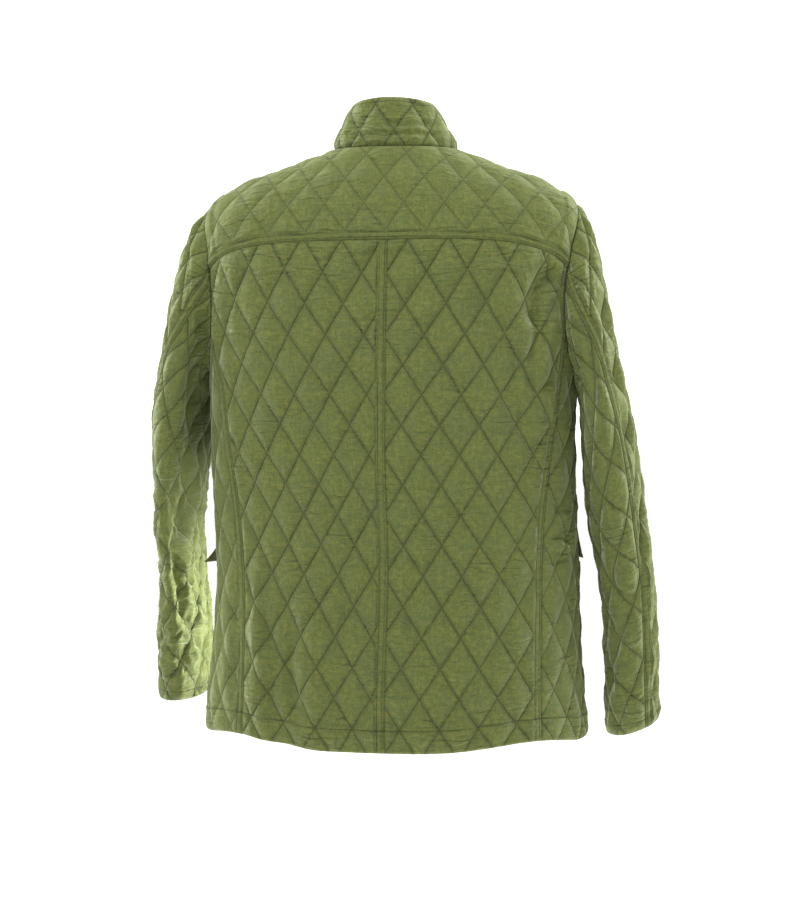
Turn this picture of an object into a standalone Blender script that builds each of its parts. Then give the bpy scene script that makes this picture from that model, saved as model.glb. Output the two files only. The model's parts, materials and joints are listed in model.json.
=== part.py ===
# A men's quilted jacket with a stand collar, worn and hollow, arms hanging.
# Metres. +Z up, the wearer faces -Y, +X is the wearer's left. The origin lies midway between
# the two high points of the shoulders, where the neck seam crosses them.
#
# The body is one surface read from a table of rings, from the neck seam down to the hem. A place
# on it is a turn round the body (0 at the centre back, +90 degrees at the wearer's left side,
# 180 at the centre front) and a level, the length of back below the neck seam. Each sleeve is a
# tube from the armhole loop to the cuff. Every panel is a patch between its seams, as thick as
# the quilted cloth, and two panels read the same points along the seam that they share.

import math

import bmesh
import bpy
import numpy as np

CLOTH = 0.004            # wool, wadding and lining quilted together
FLAP_CLOTH = 0.0024      # a pocket flap has no wadding
SEAM_GAP = 0.0004        # between two panels along a seam
ARMHOLE_GAP = 0.0006     # the sleeve folds back close to the body, so this seam needs more
LAYER_GAP = 0.0010       # between a piece and what it lies on
FRONT_LAP = 0.020        # how far each front runs past the centre
LAP_RUN = 0.045          # length over which the upper front climbs on to the lower one
LAP_CLEAR = 0.008        # and is up before it reaches the lower one's edge

SHOULDER_SEAM_TURN = 99.0    # the seam lies a little forward of the shoulder ridge
SIDE_SEAM_TURN = 93.0
SIDE_SETTLE = 1 / 3          # share of its length in which the side seam reaches that turn
SIDE_BACK_SETTLE = 0.12      # and in which the side-back seam reaches its table
YOKE_LEVEL = 0.1355          # yoke seam at the centre back
YOKE_CURVE = 2.0             # how late it drops towards the armhole
BACK_SEAM_START = -0.0088    # the centre-back seam hangs to the wearer's right of the middle
BACK_SEAM_LEAN = 0.0042      # and drifts back to the left towards the hem

ARMHOLE_TOP_LEVEL = 0.130
ARMHOLE_LOW_LEVEL = 0.297
ARMHOLE_BACK_SPREAD = 29.0
ARMHOLE_FRONT_SPREAD = 37.0

BUTTON_RADIUS = 0.0100
BUTTON_THICKNESS = 0.0034
BUTTON_SIDES = 16
BUTTON_PROFILE = (           # shares of the radius and of the thickness, from the back
    (0.00, 0.00),
    (0.86, 0.00),
    (1.00, 0.45),
    (0.92, 1.00),            # the rim
    (0.70, 0.60),
    (0.00, 0.60),
)
BUTTON_LEVELS = (0.045, 0.165, 0.285, 0.405, 0.525)
COLLAR_BUTTON_RISE = 0.5

FLAP_WIDTH = 0.165
FLAP_HEIGHT = 0.064
FLAP_FROM_SIDE = 0.028
FLAP_GAP = 0.0013        # the flap hangs clear of the front
FLAP_FALL = 0.002        # and a little further at its lower edge
FLAP_CELLS = (8, 4)      # across and down

COLOURS = {
    "cloth": (0.125, 0.165, 0.045, 1.0),
    "button": (0.045, 0.030, 0.018, 1.0),
}
ROUGHNESS = {"cloth": 0.9, "button": 0.45}


def table(columns, rows):
    return dict(zip(columns.split(), np.array(rows, dtype=float).T))


def read(rows, column, key, at):
    """One column of a table at the given keys, as a smooth curve through its rows."""
    x = rows[key]
    y = rows[column]
    at = np.clip(at, x[0], x[-1])
    slope = np.gradient(y, x)
    i = np.clip(np.searchsorted(x, at, side="right") - 1, 0, len(x) - 2)
    h = x[i + 1] - x[i]
    t = (at - x[i]) / h
    rise = y[i + 1] - y[i]
    start = slope[i] * h
    end = slope[i + 1] * h
    return y[i] + t * (start + t * (3 * rise - 2 * start - end + t * (start + end - 2 * rise)))


# Body rings. z at the centre back, at the sides and at the centre front, half the width, the
# depth behind and in front of the side line, how square the ring is (2 is an ellipse), how far
# it is drawn to the wearer's left, as the jacket hangs a little askew, and how far it rises
# between the middle and the sides.
BODY_COLUMNS = ("level z_back z_side z_front half_width back_depth front_depth squareness "
                "middle_x quarter_rise")
BODY = table(
    BODY_COLUMNS,
    (
        (0.000, -0.002, 0.0000, -0.075, 0.0785, 0.070, 0.085, 2.00, 0.0020, 0.0),    # neck seam
        (0.020, -0.020, -0.0070, -0.088, 0.0960, 0.082, 0.089, 2.05, 0.0030, 0.0),
        (0.065, -0.060, -0.0240, -0.117, 0.1420, 0.103, 0.098, 2.20, 0.0050, 0.0),
        (0.100, -0.090, -0.0430, -0.142, 0.1940, 0.113, 0.104, 2.40, 0.0060, 0.0),
        (0.130, -0.115, -0.0710, -0.165, 0.2300, 0.120, 0.110, 2.60, 0.0060, 0.0),   # shoulder point
        (0.170, -0.158, -0.1280, -0.193, 0.2335, 0.127, 0.122, 2.80, 0.0060, 0.0),
        (0.210, -0.200, -0.1850, -0.222, 0.2330, 0.132, 0.134, 2.80, 0.0060, 0.0),   # chest
        (0.310, -0.300, -0.3000, -0.300, 0.2305, 0.134, 0.145, 2.60, 0.0060, 0.0),   # underarm
        (0.395, -0.385, -0.3850, -0.385, 0.2290, 0.131, 0.142, 2.50, 0.0060, 0.0),
        (0.460, -0.450, -0.4500, -0.450, 0.2285, 0.131, 0.141, 2.45, 0.0035, 0.0),   # waist
        (0.530, -0.520, -0.5200, -0.520, 0.2280, 0.139, 0.144, 2.40, 0.0005, 0.0),
        (0.610, -0.600, -0.6000, -0.600, 0.2300, 0.148, 0.148, 2.40, 0.0010, 0.0),   # hip
        (0.700, -0.690, -0.6900, -0.685, 0.2375, 0.153, 0.150, 2.40, 0.0020, 0.0040),
        (0.738, -0.728, -0.7285, -0.721, 0.2400, 0.154, 0.150, 2.40, 0.0010, 0.0110),   # hem
    ),
)
HEM_LEVEL = BODY["level"][-1]

# Collar rings from the neck seam (rise 0) to the top edge (rise 1).
COLLAR_COLUMNS = "rise z_back z_side z_front half_width back_depth front_depth middle_x"
COLLAR = table(
    COLLAR_COLUMNS,
    (
        (0.00, -0.002, 0.0000, -0.075, 0.0785, 0.0700, 0.085, 0.0020),
        (0.10, 0.005, 0.0060, -0.069, 0.0772, 0.0695, 0.084, 0.0025),
        (0.45, 0.027, 0.0270, -0.047, 0.0680, 0.0630, 0.077, 0.0040),
        (0.80, 0.048, 0.0460, -0.025, 0.0575, 0.0565, 0.070, 0.0045),
        (1.00, 0.060, 0.0565, -0.013, 0.0510, 0.0530, 0.067, 0.0045),
    ),
)

# Sleeve rings from the armhole (along 0) to the cuff edge (along 1). Each ring runs between a
# point on the outer side and one on the inner side of the arm, and is deep from front to back.
# The back and front seams are angles round the ring, from its outer point towards the back.
SLEEVE_COLUMNS = "along  outer_x  outer_z  inner_x  inner_z  middle_y  half_depth  back_seam"
LEFT_SLEEVE = table(
    SLEEVE_COLUMNS,
    (
        (0.00, 0.2360, -0.071, 0.2370, -0.288, -0.006, 0.078, 78),
        (0.08, 0.2585, -0.098, 0.2396, -0.301, -0.004, 0.088, 82),
        (0.18, 0.2795, -0.158, 0.2425, -0.322, -0.004, 0.095, 80),
        (0.30, 0.2945, -0.235, 0.2455, -0.352, -0.006, 0.099, 64),   # upper arm
        (0.44, 0.3100, -0.330, 0.2510, -0.396, -0.010, 0.098, 40),
        (0.60, 0.3090, -0.440, 0.2620, -0.458, -0.016, 0.089, 24),   # elbow
        (0.74, 0.3040, -0.530, 0.2600, -0.536, -0.020, 0.080, 18),
        (0.87, 0.3100, -0.612, 0.2510, -0.608, -0.024, 0.071, 18),
        (1.00, 0.3120, -0.697, 0.2530, -0.696, -0.028, 0.062, 20),   # cuff
    ),
)
RIGHT_SLEEVE = table(
    SLEEVE_COLUMNS,
    (
        (0.00, 0.2240, -0.071, 0.2250, -0.288, -0.006, 0.078, 78),
        (0.08, 0.2440, -0.104, 0.2276, -0.301, -0.004, 0.088, 84),
        (0.18, 0.2585, -0.166, 0.2300, -0.322, -0.004, 0.095, 80),
        (0.30, 0.2735, -0.245, 0.2320, -0.354, -0.006, 0.099, 70),   # upper arm
        (0.44, 0.2945, -0.340, 0.2345, -0.398, -0.010, 0.098, 61),
        (0.60, 0.3110, -0.455, 0.2400, -0.465, -0.016, 0.089, 57),   # elbow
        (0.74, 0.3220, -0.552, 0.2550, -0.548, -0.020, 0.080, 60),
        (0.87, 0.3265, -0.640, 0.2600, -0.632, -0.024, 0.071, 62),
        (1.00, 0.3285, -0.712, 0.2620, -0.732, -0.028, 0.062, 62),   # cuff
    ),
)
SLEEVE_FRONT_SEAM = -125.0
ARMHOLE_FADE = 0.30          # how far down the sleeve the armhole's own shape is felt

# Cells along each stretch of seam. Two panels that meet there share the number.
BACK_CELLS = 9               # centre back to armhole, along the yoke seam
SIDE_CELLS = 11              # down the side seams, below the armhole
SHOULDER_CELLS = 5
BACK_NECK_CELLS = 2 * (BACK_CELLS - SHOULDER_CELLS)
FRONT_NECK_CELLS = 6
SLEEVE_CELLS = 16
COLLAR_CELLS = 4
FRONT_FILL_LATE = 4.0        # keeps the front's shoulder spacing up at the shoulder
WALK_SPAN = 1.6              # how far walk_turn looks round the body, in radians
WALK_STEPS = 160
# The armhole, in degrees from its top towards the back, and the cells up to the next stop.
ARMHOLE_STOPS = {"shoulder": -10.0, "yoke": 69.0, "back_sleeve": 78.0, "side_back": 112.0,
                 "side": 187.0, "front_sleeve": 235.0, "shoulder_again": 350.0}
ARMHOLE_CELLS = (5, 1, 2, 5, 3, 7)

# The largest folds: soft ridges (or troughs, where the height is negative) along a line.
# Columns: piece, start and end of the line, half its width and its height.
FOLDS = (
    ("body", (-0.150, 0.125, -0.165), (-0.195, 0.100, -0.330), 0.022, 0.006),
    ("body", (-0.118, 0.132, -0.190), (-0.165, 0.118, -0.330), 0.020, -0.005),
    ("body", (0.160, 0.130, -0.520), (0.150, 0.140, -0.737), 0.020, 0.006),
    ("body", (0.125, 0.140, -0.560), (0.118, 0.150, -0.737), 0.018, -0.004),
    ("body", (0.085, 0.145, -0.580), (0.080, 0.155, -0.737), 0.020, 0.005),
    ("body", (0.120, -0.140, -0.430), (0.170, -0.130, -0.730), 0.026, 0.006),
    ("body", (-0.130, -0.140, -0.400), (-0.165, -0.130, -0.730), 0.026, 0.006),
    ("left", (0.310, 0.030, -0.400), (0.262, 0.040, -0.470), 0.016, -0.004),
    ("left", (0.306, 0.030, -0.480), (0.262, 0.035, -0.545), 0.016, 0.004),
    ("right", (-0.312, 0.030, -0.440), (-0.262, 0.040, -0.500), 0.016, -0.004),
    ("right", (-0.318, 0.030, -0.510), (-0.272, 0.035, -0.570), 0.016, 0.004),
)


def unit(v):
    return v / np.maximum(np.linalg.norm(v, axis=-1, keepdims=True), 1e-12)


def fold_height(piece, points):
    """How far the folds of one piece move its points outwards."""
    height = np.zeros(points.shape[:-1])
    for where, start, end, half_width, rise in FOLDS:
        if where != piece:
            continue
        a = np.array(start)
        run = np.array(end) - a
        share = np.clip(((points - a) @ run) / (run @ run), 0.0, 1.0)
        distance = np.linalg.norm(points - a - share[..., None] * run, axis=-1)
        height += rise * np.exp(-((distance / half_width) ** 2))
    return height


def ring_point(turn, row):
    """A point on a ring of the body or the collar."""
    s = np.sin(turn)
    c = np.cos(turn)
    n = row["squareness"]
    reach = (np.abs(s) ** n + np.abs(c) ** n) ** (-1.0 / n)
    depth = np.where(c > 0, row["back_depth"], row["front_depth"])
    end_z = np.where(c > 0, row["z_back"], row["z_front"])
    x = row["middle_x"] + row["half_width"] * s * reach
    y = depth * c * reach
    z = row["z_side"] + (end_z - row["z_side"]) * c * c
    z = z + row["quarter_rise"] * (2 * s * c) ** 4
    return np.stack((x, y, z), axis=-1)


def body_bare(turn, level):
    names = BODY_COLUMNS.split()[1:]
    return ring_point(turn, {name: read(BODY, name, "level", level) for name in names})


def collar_bare(turn, rise):
    names = COLLAR_COLUMNS.split()[1:]
    row = {name: read(COLLAR, name, "rise", rise) for name in names}
    row["squareness"] = 2.0
    row["quarter_rise"] = 0.0
    return ring_point(turn, row)


def surface_normal(surface, u, v, step_u=1e-3, step_v=1e-3):
    du = surface(u + step_u, v) - surface(u - step_u, v)
    dv = surface(u, v + step_v) - surface(u, v - step_v)
    return unit(np.cross(du, dv))


def body_normal(turn, level):
    return surface_normal(body_bare, turn, np.clip(level, 1e-3, HEM_LEVEL - 1e-3))


def body_point(turn, level):
    bare = body_bare(turn, level)
    return bare + body_normal(turn, level) * fold_height("body", bare)[..., None]


def armhole_place(angle, side):
    """The turn and level of the armhole at an angle from its top, in radians."""
    middle = (ARMHOLE_TOP_LEVEL + ARMHOLE_LOW_LEVEL) / 2
    half = (ARMHOLE_LOW_LEVEL - ARMHOLE_TOP_LEVEL) / 2
    spread = np.where(np.sin(angle) > 0, ARMHOLE_BACK_SPREAD, ARMHOLE_FRONT_SPREAD)
    turn = np.radians(90.0 - spread * np.sin(angle))
    return side * turn, middle - half * np.cos(angle)


def armhole_point(angle, side):
    return body_point(*armhole_place(angle, side))


def sleeve_ring(angle, along, side):
    rows = LEFT_SLEEVE if side > 0 else RIGHT_SLEEVE
    outer_x, outer_z, inner_x, inner_z, middle_y, half_depth = (
        read(rows, name, "along", along)
        for name in ("outer_x", "outer_z", "inner_x", "inner_z", "middle_y", "half_depth")
    )
    c = np.cos(angle)
    x = (outer_x + inner_x) / 2 + (outer_x - inner_x) / 2 * c
    y = middle_y + half_depth * np.sin(angle)
    z = (outer_z + inner_z) / 2 + (outer_z - inner_z) / 2 * c
    return np.stack((side * x, y, z), axis=-1)


def sleeve_bare(angle, along, side):
    fade = np.clip(1.0 - along / ARMHOLE_FADE, 0.0, 1.0)
    fade = fade * fade * (3.0 - 2.0 * fade)
    change = armhole_point(angle, side) - sleeve_ring(angle, np.zeros_like(along), side)
    return sleeve_ring(angle, along, side) + change * fade[..., None]


def sleeve_normal(angle, along, side):
    along = np.clip(along, 1e-3, 1.0 - 1e-3)
    normal = surface_normal(lambda a, b: sleeve_bare(a, b, side), angle, along)
    return -side * normal


def sleeve_point(angle, along, side):
    bare = sleeve_bare(angle, along, side)
    piece = "left" if side > 0 else "right"
    return bare + sleeve_normal(angle, along, side) * fold_height(piece, bare)[..., None]


def armhole_normal(angle, side):
    """Shared by the body and the sleeve, so that both walls end in the same place."""
    body = body_normal(*armhole_place(angle, side))
    sleeve = sleeve_normal(angle, np.full_like(angle, 2e-3), side)
    return unit(body + sleeve)


def neck_normal(turn):
    body = body_normal(turn, np.zeros_like(turn))
    return unit(body + surface_normal(collar_bare, turn, np.full_like(turn, 2e-3)) * -1)


def armhole_angles(first, last):
    """The armhole's sample angles, in radians, between two of its named stops."""
    names = list(ARMHOLE_STOPS)
    stops = list(ARMHOLE_STOPS.values())
    angles = [stops[names.index(first)]]
    for i in range(names.index(first), names.index(last)):
        angles.extend(np.linspace(stops[i], stops[i + 1], ARMHOLE_CELLS[i] + 1)[1:])
    return np.radians(angles)


def places(turn, level):
    """Rows of (turn, level), with a single value spread over the other's length."""
    turn, level = np.broadcast_arrays(np.asarray(turn, float), np.asarray(level, float))
    return np.stack((turn, level), axis=-1)


def join(*runs):
    """Several stretches of places in one, without repeating the corners."""
    return np.concatenate([runs[0]] + [run[1:] for run in runs[1:]])


def centre_back(cells):
    level = np.linspace(YOKE_LEVEL, HEM_LEVEL, cells + 1)
    share = (level - YOKE_LEVEL) / (HEM_LEVEL - YOKE_LEVEL)
    reach = BACK_SEAM_START + BACK_SEAM_LEAN * share
    return places(reach / read(BODY, "half_width", "level", level), level)


def yoke_seam(side):
    """From the centre back to the armhole."""
    start_turn = centre_back(1)[0, 0]
    end_turn, end_level = armhole_place(math.radians(ARMHOLE_STOPS["yoke"]), 1)
    share = np.linspace(0.0, 1.0, BACK_CELLS + 1)
    level = YOKE_LEVEL + (end_level - YOKE_LEVEL) * share ** YOKE_CURVE
    return places(start_turn + (side * end_turn - start_turn) * share, level)


# How far the side-back seam lies from the middle plane, by level.
SIDE_BACK = table(
    "level  left_x  right_x",
    (
        (0.220, 0.2145, 0.2145),
        (0.300, 0.2065, 0.2085),
        (0.370, 0.1980, 0.2000),
        (0.465, 0.1830, 0.1890),
        (0.560, 0.1745, 0.1860),
        (0.650, 0.1735, 0.1855),
        (0.738, 0.1740, 0.1860),
    ),
)


def side_back_seam(side):
    """From the armhole to the hem."""
    start_turn, start_level = armhole_place(math.radians(ARMHOLE_STOPS["side_back"]), 1)
    share = np.linspace(0.0, 1.0, SIDE_CELLS + 1)
    level = start_level + (HEM_LEVEL - start_level) * share
    x = read(SIDE_BACK, "left_x" if side > 0 else "right_x", "level", level)
    x = x - side * read(BODY, "middle_x", "level", level)
    n = read(BODY, "squareness", "level", level)
    reach = np.minimum(x / read(BODY, "half_width", "level", level), 0.999) ** n
    turn = np.arctan((reach / (1.0 - reach)) ** (1.0 / n))
    settle = np.clip(share / SIDE_BACK_SETTLE, 0.0, 1.0)
    return places(side * (start_turn + (turn - start_turn) * settle), level)


def side_seam(side):
    """From the armhole to the hem."""
    start_turn, start_level = armhole_place(math.radians(ARMHOLE_STOPS["side"]), 1)
    share = np.linspace(0.0, 1.0, SIDE_CELLS + 1)
    settle = np.minimum(share / SIDE_SETTLE, 1.0)
    turn = start_turn + (math.radians(SIDE_SEAM_TURN) - start_turn) * settle
    return places(side * turn, start_level + (HEM_LEVEL - start_level) * share)


def shoulder_seam(side):
    """From the armhole to the neck."""
    start_turn, start_level = armhole_place(math.radians(ARMHOLE_STOPS["shoulder"]), 1)
    share = np.linspace(0.0, 1.0, SHOULDER_CELLS + 1)
    end_turn = math.radians(SHOULDER_SEAM_TURN)
    return places(side * (start_turn + (end_turn - start_turn) * share), start_level * (1 - share))


def front_edge_turn(level, side):
    return side * (math.pi + FRONT_LAP / read(BODY, "half_width", "level", level))


def front_edge(cells, side):
    """From the neck to the hem."""
    level = np.linspace(0.0, HEM_LEVEL, cells + 1)
    return places(front_edge_turn(level, side), level)


def front_neck(side):
    """From the shoulder seam to the front edge."""
    turn = np.linspace(side * math.radians(SHOULDER_SEAM_TURN), front_edge_turn(0.0, side),
                       FRONT_NECK_CELLS + 1)
    return places(turn, 0.0)


def back_neck():
    """From the left shoulder seam round the back to the right one."""
    end = math.radians(SHOULDER_SEAM_TURN)
    return places(np.linspace(end, -end, BACK_NECK_CELLS + 1), 0.0)


def armhole_run(first, last, side):
    return places(*armhole_place(armhole_angles(first, last), side))


def hem(start, end, cells):
    return places(np.linspace(start, end, cells + 1), HEM_LEVEL)


def fill(bottom, top, left, right, late=1.0):
    """A grid of places between four edges: bottom and top run left to right, sides upwards.

    A late fill keeps the top edge's spacing near the top.
    """
    u = np.linspace(0.0, 1.0, len(bottom))[None, :, None]
    v = np.linspace(0.0, 1.0, len(left))[:, None, None] ** late
    across = (1 - v) * bottom[None] + v * top[None]
    up = (1 - u) * left[:, None] + u * right[:, None]
    corners = ((1 - u) * (1 - v) * bottom[0] + u * (1 - v) * bottom[-1]
               + (1 - u) * v * top[0] + u * v * top[-1])
    return across + up - corners


def pull_in(points, normals, edges, gaps=None):
    """Moves the grid's sewn edges in by half a seam gap, square to the seam and the normal."""
    moved = points.copy()
    if gaps is None:
        gaps = np.full(points.shape[:2], SEAM_GAP)
    views = {
        "bottom": (np.s_[0, :], np.s_[1, :]),
        "top": (np.s_[-1, :], np.s_[-2, :]),
        "left": (np.s_[:, 0], np.s_[:, 1]),
        "right": (np.s_[:, -1], np.s_[:, -2]),
    }
    for name in edges:
        edge, inside = views[name]
        along = unit(np.gradient(points[edge], axis=0))
        normal = unit(normals[edge] - along * np.sum(normals[edge] * along, -1, keepdims=True))
        inward = points[inside] - points[edge]
        inward = inward - along * np.sum(inward * along, -1, keepdims=True)
        inward = unit(inward - normal * np.sum(inward * normal, -1, keepdims=True))
        moved[edge] += inward * gaps[edge][:, None] / 2
    return moved


def panel(name, outer, normals, thickness=CLOTH, colour="cloth"):
    """A closed wall between a grid of outer points and the same grid moved in."""
    rows, columns = outer.shape[:2]
    inner = outer - normals * thickness
    mesh = bmesh.new()
    front = [[mesh.verts.new(p) for p in row] for row in outer]
    back = [[mesh.verts.new(p) for p in row] for row in inner]
    for j in range(rows - 1):
        for i in range(columns - 1):
            mesh.faces.new((front[j][i], front[j][i + 1], front[j + 1][i + 1], front[j + 1][i]))
            mesh.faces.new((back[j + 1][i], back[j + 1][i + 1], back[j][i + 1], back[j][i]))
    rim = ([(0, i) for i in range(columns)] + [(j, columns - 1) for j in range(1, rows)]
           + [(rows - 1, i) for i in range(columns - 2, -1, -1)]
           + [(j, 0) for j in range(rows - 2, 0, -1)])
    for (j, i), (l, k) in zip(rim, rim[1:] + rim[:1]):
        mesh.faces.new((front[l][k], front[j][i], back[j][i], back[l][k]))
    bmesh.ops.triangulate(mesh, faces=mesh.faces[:])
    bmesh.ops.recalc_face_normals(mesh, faces=mesh.faces[:])
    return place(name, mesh, colour)


def place(name, mesh, colour):
    data = bpy.data.meshes.new(name)
    mesh.to_mesh(data)
    mesh.free()
    data.shade_smooth()
    data.set_sharp_from_angle(angle=math.radians(40))
    data.materials.append(material(colour))
    item = bpy.data.objects.new(name, data)
    bpy.context.scene.collection.objects.link(item)
    return item


def material(name):
    found = bpy.data.materials.get(name)
    if found:
        return found
    made = bpy.data.materials.new(name)
    made.use_nodes = True
    shader = made.node_tree.nodes["Principled BSDF"]
    shader.inputs["Base Color"].default_value = COLOURS[name]
    shader.inputs["Roughness"].default_value = ROUGHNESS[name]
    shader.inputs["Metallic"].default_value = 0.0
    return made


def body_panel(name, grid, sewn, armhole_edge=(), neck_edge=(), lift=None):
    """One panel of the body from a grid of places."""
    turn = grid[..., 0]
    level = grid[..., 1]
    points = body_point(turn, level)
    normals = body_normal(turn, level)
    gaps = np.full(turn.shape, SEAM_GAP)
    for view, angles, side in armhole_edge:
        normals[view] = armhole_normal(angles, side)
        gaps[view] = ARMHOLE_GAP
    for view in neck_edge:
        normals[view] = neck_normal(turn[view])
    if lift is not None:
        points = points + normals * lift(turn, level)[..., None]
    return panel(name, pull_in(points, normals, sewn, gaps), normals)


def make_yoke():
    bottom = join(yoke_seam(1)[::-1], yoke_seam(-1))
    top = join(shoulder_seam(1), back_neck(), shoulder_seam(-1)[::-1])
    angles = armhole_angles("shoulder", "yoke")[::-1]
    left = places(*armhole_place(angles, 1))
    right = places(*armhole_place(angles, -1))
    neck = np.s_[-1, SHOULDER_CELLS:-SHOULDER_CELLS]
    body_panel("back_yoke", fill(bottom, top, left, right), ("bottom", "top", "left", "right"),
               armhole_edge=((np.s_[:, 0], angles, 1), (np.s_[:, -1], angles, -1)),
               neck_edge=(neck,))


def make_back(name, side):
    angles = armhole_angles("yoke", "side_back")
    outer = join(armhole_run("yoke", "side_back", side), side_back_seam(side))[::-1]
    middle = centre_back(len(outer) - 1)[::-1]
    bottom = hem(middle[0, 0], outer[0, 0], BACK_CELLS)
    grid = fill(bottom, yoke_seam(side), middle, outer)
    arc = np.s_[-len(angles):, -1]
    body_panel(name, grid, ("top", "left", "right"),
               armhole_edge=((arc, angles[::-1], side),))


def make_side(name, side):
    back_edge = side_back_seam(side)[::-1]
    front_seam = side_seam(side)[::-1]
    angles = armhole_angles("side_back", "side")
    top = places(*armhole_place(angles, side))
    bottom = hem(back_edge[0, 0], front_seam[0, 0], len(top) - 1)
    body_panel(name, fill(bottom, top, back_edge, front_seam), ("top", "left", "right"),
               armhole_edge=((np.s_[-1, :], angles, side),))


def front_lift(turn, level):
    """The upper front climbs over the lower one near the centre."""
    reach = (turn - math.pi) * read(BODY, "half_width", "level", level) + FRONT_LAP + LAP_CLEAR
    share = np.clip(1.0 + reach / LAP_RUN, 0.0, 1.0)
    return (CLOTH + LAYER_GAP) * share * share * (3.0 - 2.0 * share)


def make_front(name, side):
    angles = armhole_angles("side", "shoulder_again")
    outer = join(side_seam(side)[::-1], places(*armhole_place(angles, side)))
    top = join(shoulder_seam(side), front_neck(side))
    edge = front_edge(len(outer) - 1, side)[::-1]
    bottom = hem(outer[0, 0], edge[0, 0], len(top) - 1)
    body_panel(name, fill(bottom, top, outer, edge, late=FRONT_FILL_LATE), ("top", "left"),
               armhole_edge=((np.s_[-len(angles):, 0], angles, side),),
               neck_edge=(np.s_[-1, SHOULDER_CELLS:],),
               lift=front_lift if side > 0 else None)


def make_collar():
    left = front_neck(1)[::-1, 0]
    turn = np.concatenate((left, back_neck()[1:, 0], front_neck(-1)[1:, 0]))
    rise = np.linspace(0.0, 1.0, COLLAR_CELLS + 1)
    turns, rises = np.meshgrid(turn, rise)
    points = collar_bare(turns, rises)
    normals = -surface_normal(collar_bare, turns, np.clip(rises, 1e-3, 1 - 1e-3))
    normals[0] = neck_normal(turn)
    climb = front_lift(turns, np.zeros_like(turns))
    points = points + normals * climb[..., None]
    panel("collar", pull_in(points, normals, ("bottom",)), normals)


def sleeve_grid(first, last, side):
    """Angles and places along the sleeve between two of its seams, armhole row first."""
    rows = LEFT_SLEEVE if side > 0 else RIGHT_SLEEVE
    head = armhole_angles(first, last)
    if first == "front_sleeve":
        head = np.concatenate((head, 2 * math.pi + armhole_angles("shoulder", "back_sleeve")[1:]))
        head = head - 2 * math.pi
    share = (head - head[0]) / (head[-1] - head[0])
    along = np.linspace(0.0, 1.0, SLEEVE_CELLS + 1)
    back_seam = np.radians(read(rows, "back_seam", "along", along))
    front_seam = np.full_like(along, math.radians(SLEEVE_FRONT_SEAM))
    if first == "front_sleeve":
        start, end = front_seam, back_seam
    else:
        start, end = back_seam, front_seam + 2 * math.pi
    angle = start[:, None] + share[None, :] * (end - start)[:, None]
    return angle, np.broadcast_to(along[:, None], angle.shape)


def make_sleeve(name, first, last, side):
    angle, along = sleeve_grid(first, last, side)
    points = sleeve_point(angle, along, side)
    normals = sleeve_normal(angle, along, side)
    normals[0] = armhole_normal(angle[0], side)
    gaps = np.full(angle.shape, SEAM_GAP)
    gaps[0] = ARMHOLE_GAP
    panel(name, pull_in(points, normals, ("bottom", "left", "right"), gaps), normals)


def walk_turn(level, start, distance):
    """The turn reached from a start, some distance round the body at one level."""
    turns = np.linspace(start, start + WALK_SPAN, WALK_STEPS)
    points = body_bare(turns, np.full_like(turns, level))
    run = np.concatenate(([0.0], np.cumsum(np.linalg.norm(np.diff(points, axis=0), axis=-1))))
    return np.interp(distance, run, turns)


# The level each flap is sewn at, and how far its hanging back corner stands out and up.
FLAPS = table(
    "side  top_level  corner_out  corner_up",
    (
        (1, 0.475, 0.018, 0.006),
        (-1, 0.464, 0.005, 0.004),
    ),
)


def make_flap(name, side):
    row = list(FLAPS["side"]).index(side)
    top_level, out, up = (FLAPS[key][row] for key in ("top_level", "corner_out", "corner_up"))
    across = np.linspace(0.0, 1.0, FLAP_CELLS[0] + 1)
    down = np.linspace(0.0, 1.0, FLAP_CELLS[1] + 1)
    grid = np.zeros((len(down), len(across), 2))
    for j, share in enumerate(down):
        level = top_level + FLAP_HEIGHT * share
        start = math.radians(SIDE_SEAM_TURN)
        distance = FLAP_FROM_SIDE + FLAP_WIDTH * across
        grid[j, :, 0] = side * walk_turn(level, start, distance)
        grid[j, :, 1] = level
    corner = (1 - across[None, :]) ** 3 * down[:, None] ** 2
    fall = FLAP_FALL * down[:, None] ** 2 + out * corner
    points = body_point(grid[..., 0], grid[..., 1])
    normals = body_normal(grid[..., 0], grid[..., 1])
    points = points + normals * (FLAP_GAP + FLAP_CLOTH + fall)[..., None]
    points[..., 2] += up * corner
    outwards = normals
    normals = unit(np.cross(np.gradient(points, axis=1), np.gradient(points, axis=0)))
    normals = normals * np.sign(np.sum(normals * outwards, -1, keepdims=True))
    panel(name, points, normals, FLAP_CLOTH)


def make_button(name, centre, normal):
    """A turned disc with a raised rim, lying on the cloth."""
    mesh = bmesh.new()
    side = unit(np.cross(normal, (0.0, 0.0, 1.0)))
    up = np.cross(side, normal)
    rings = []
    for radius_share, height_share in BUTTON_PROFILE:
        radius = BUTTON_RADIUS * radius_share
        height = BUTTON_THICKNESS * height_share
        if radius == 0.0:
            rings.append([mesh.verts.new(centre + normal * height)])
            continue
        ring = []
        for k in range(BUTTON_SIDES):
            a = 2 * math.pi * k / BUTTON_SIDES
            ring.append(mesh.verts.new(centre + normal * height
                                       + radius * (math.cos(a) * side + math.sin(a) * up)))
        rings.append(ring)
    for low, high in zip(rings, rings[1:]):
        for k in range(BUTTON_SIDES):
            m = (k + 1) % BUTTON_SIDES
            if len(low) == 1:
                mesh.faces.new((low[0], high[k], high[m]))
            elif len(high) == 1:
                mesh.faces.new((low[k], low[m], high[0]))
            else:
                mesh.faces.new((low[k], low[m], high[m], high[k]))
    bmesh.ops.recalc_face_normals(mesh, faces=mesh.faces[:])
    place(name, mesh, "button")


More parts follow.
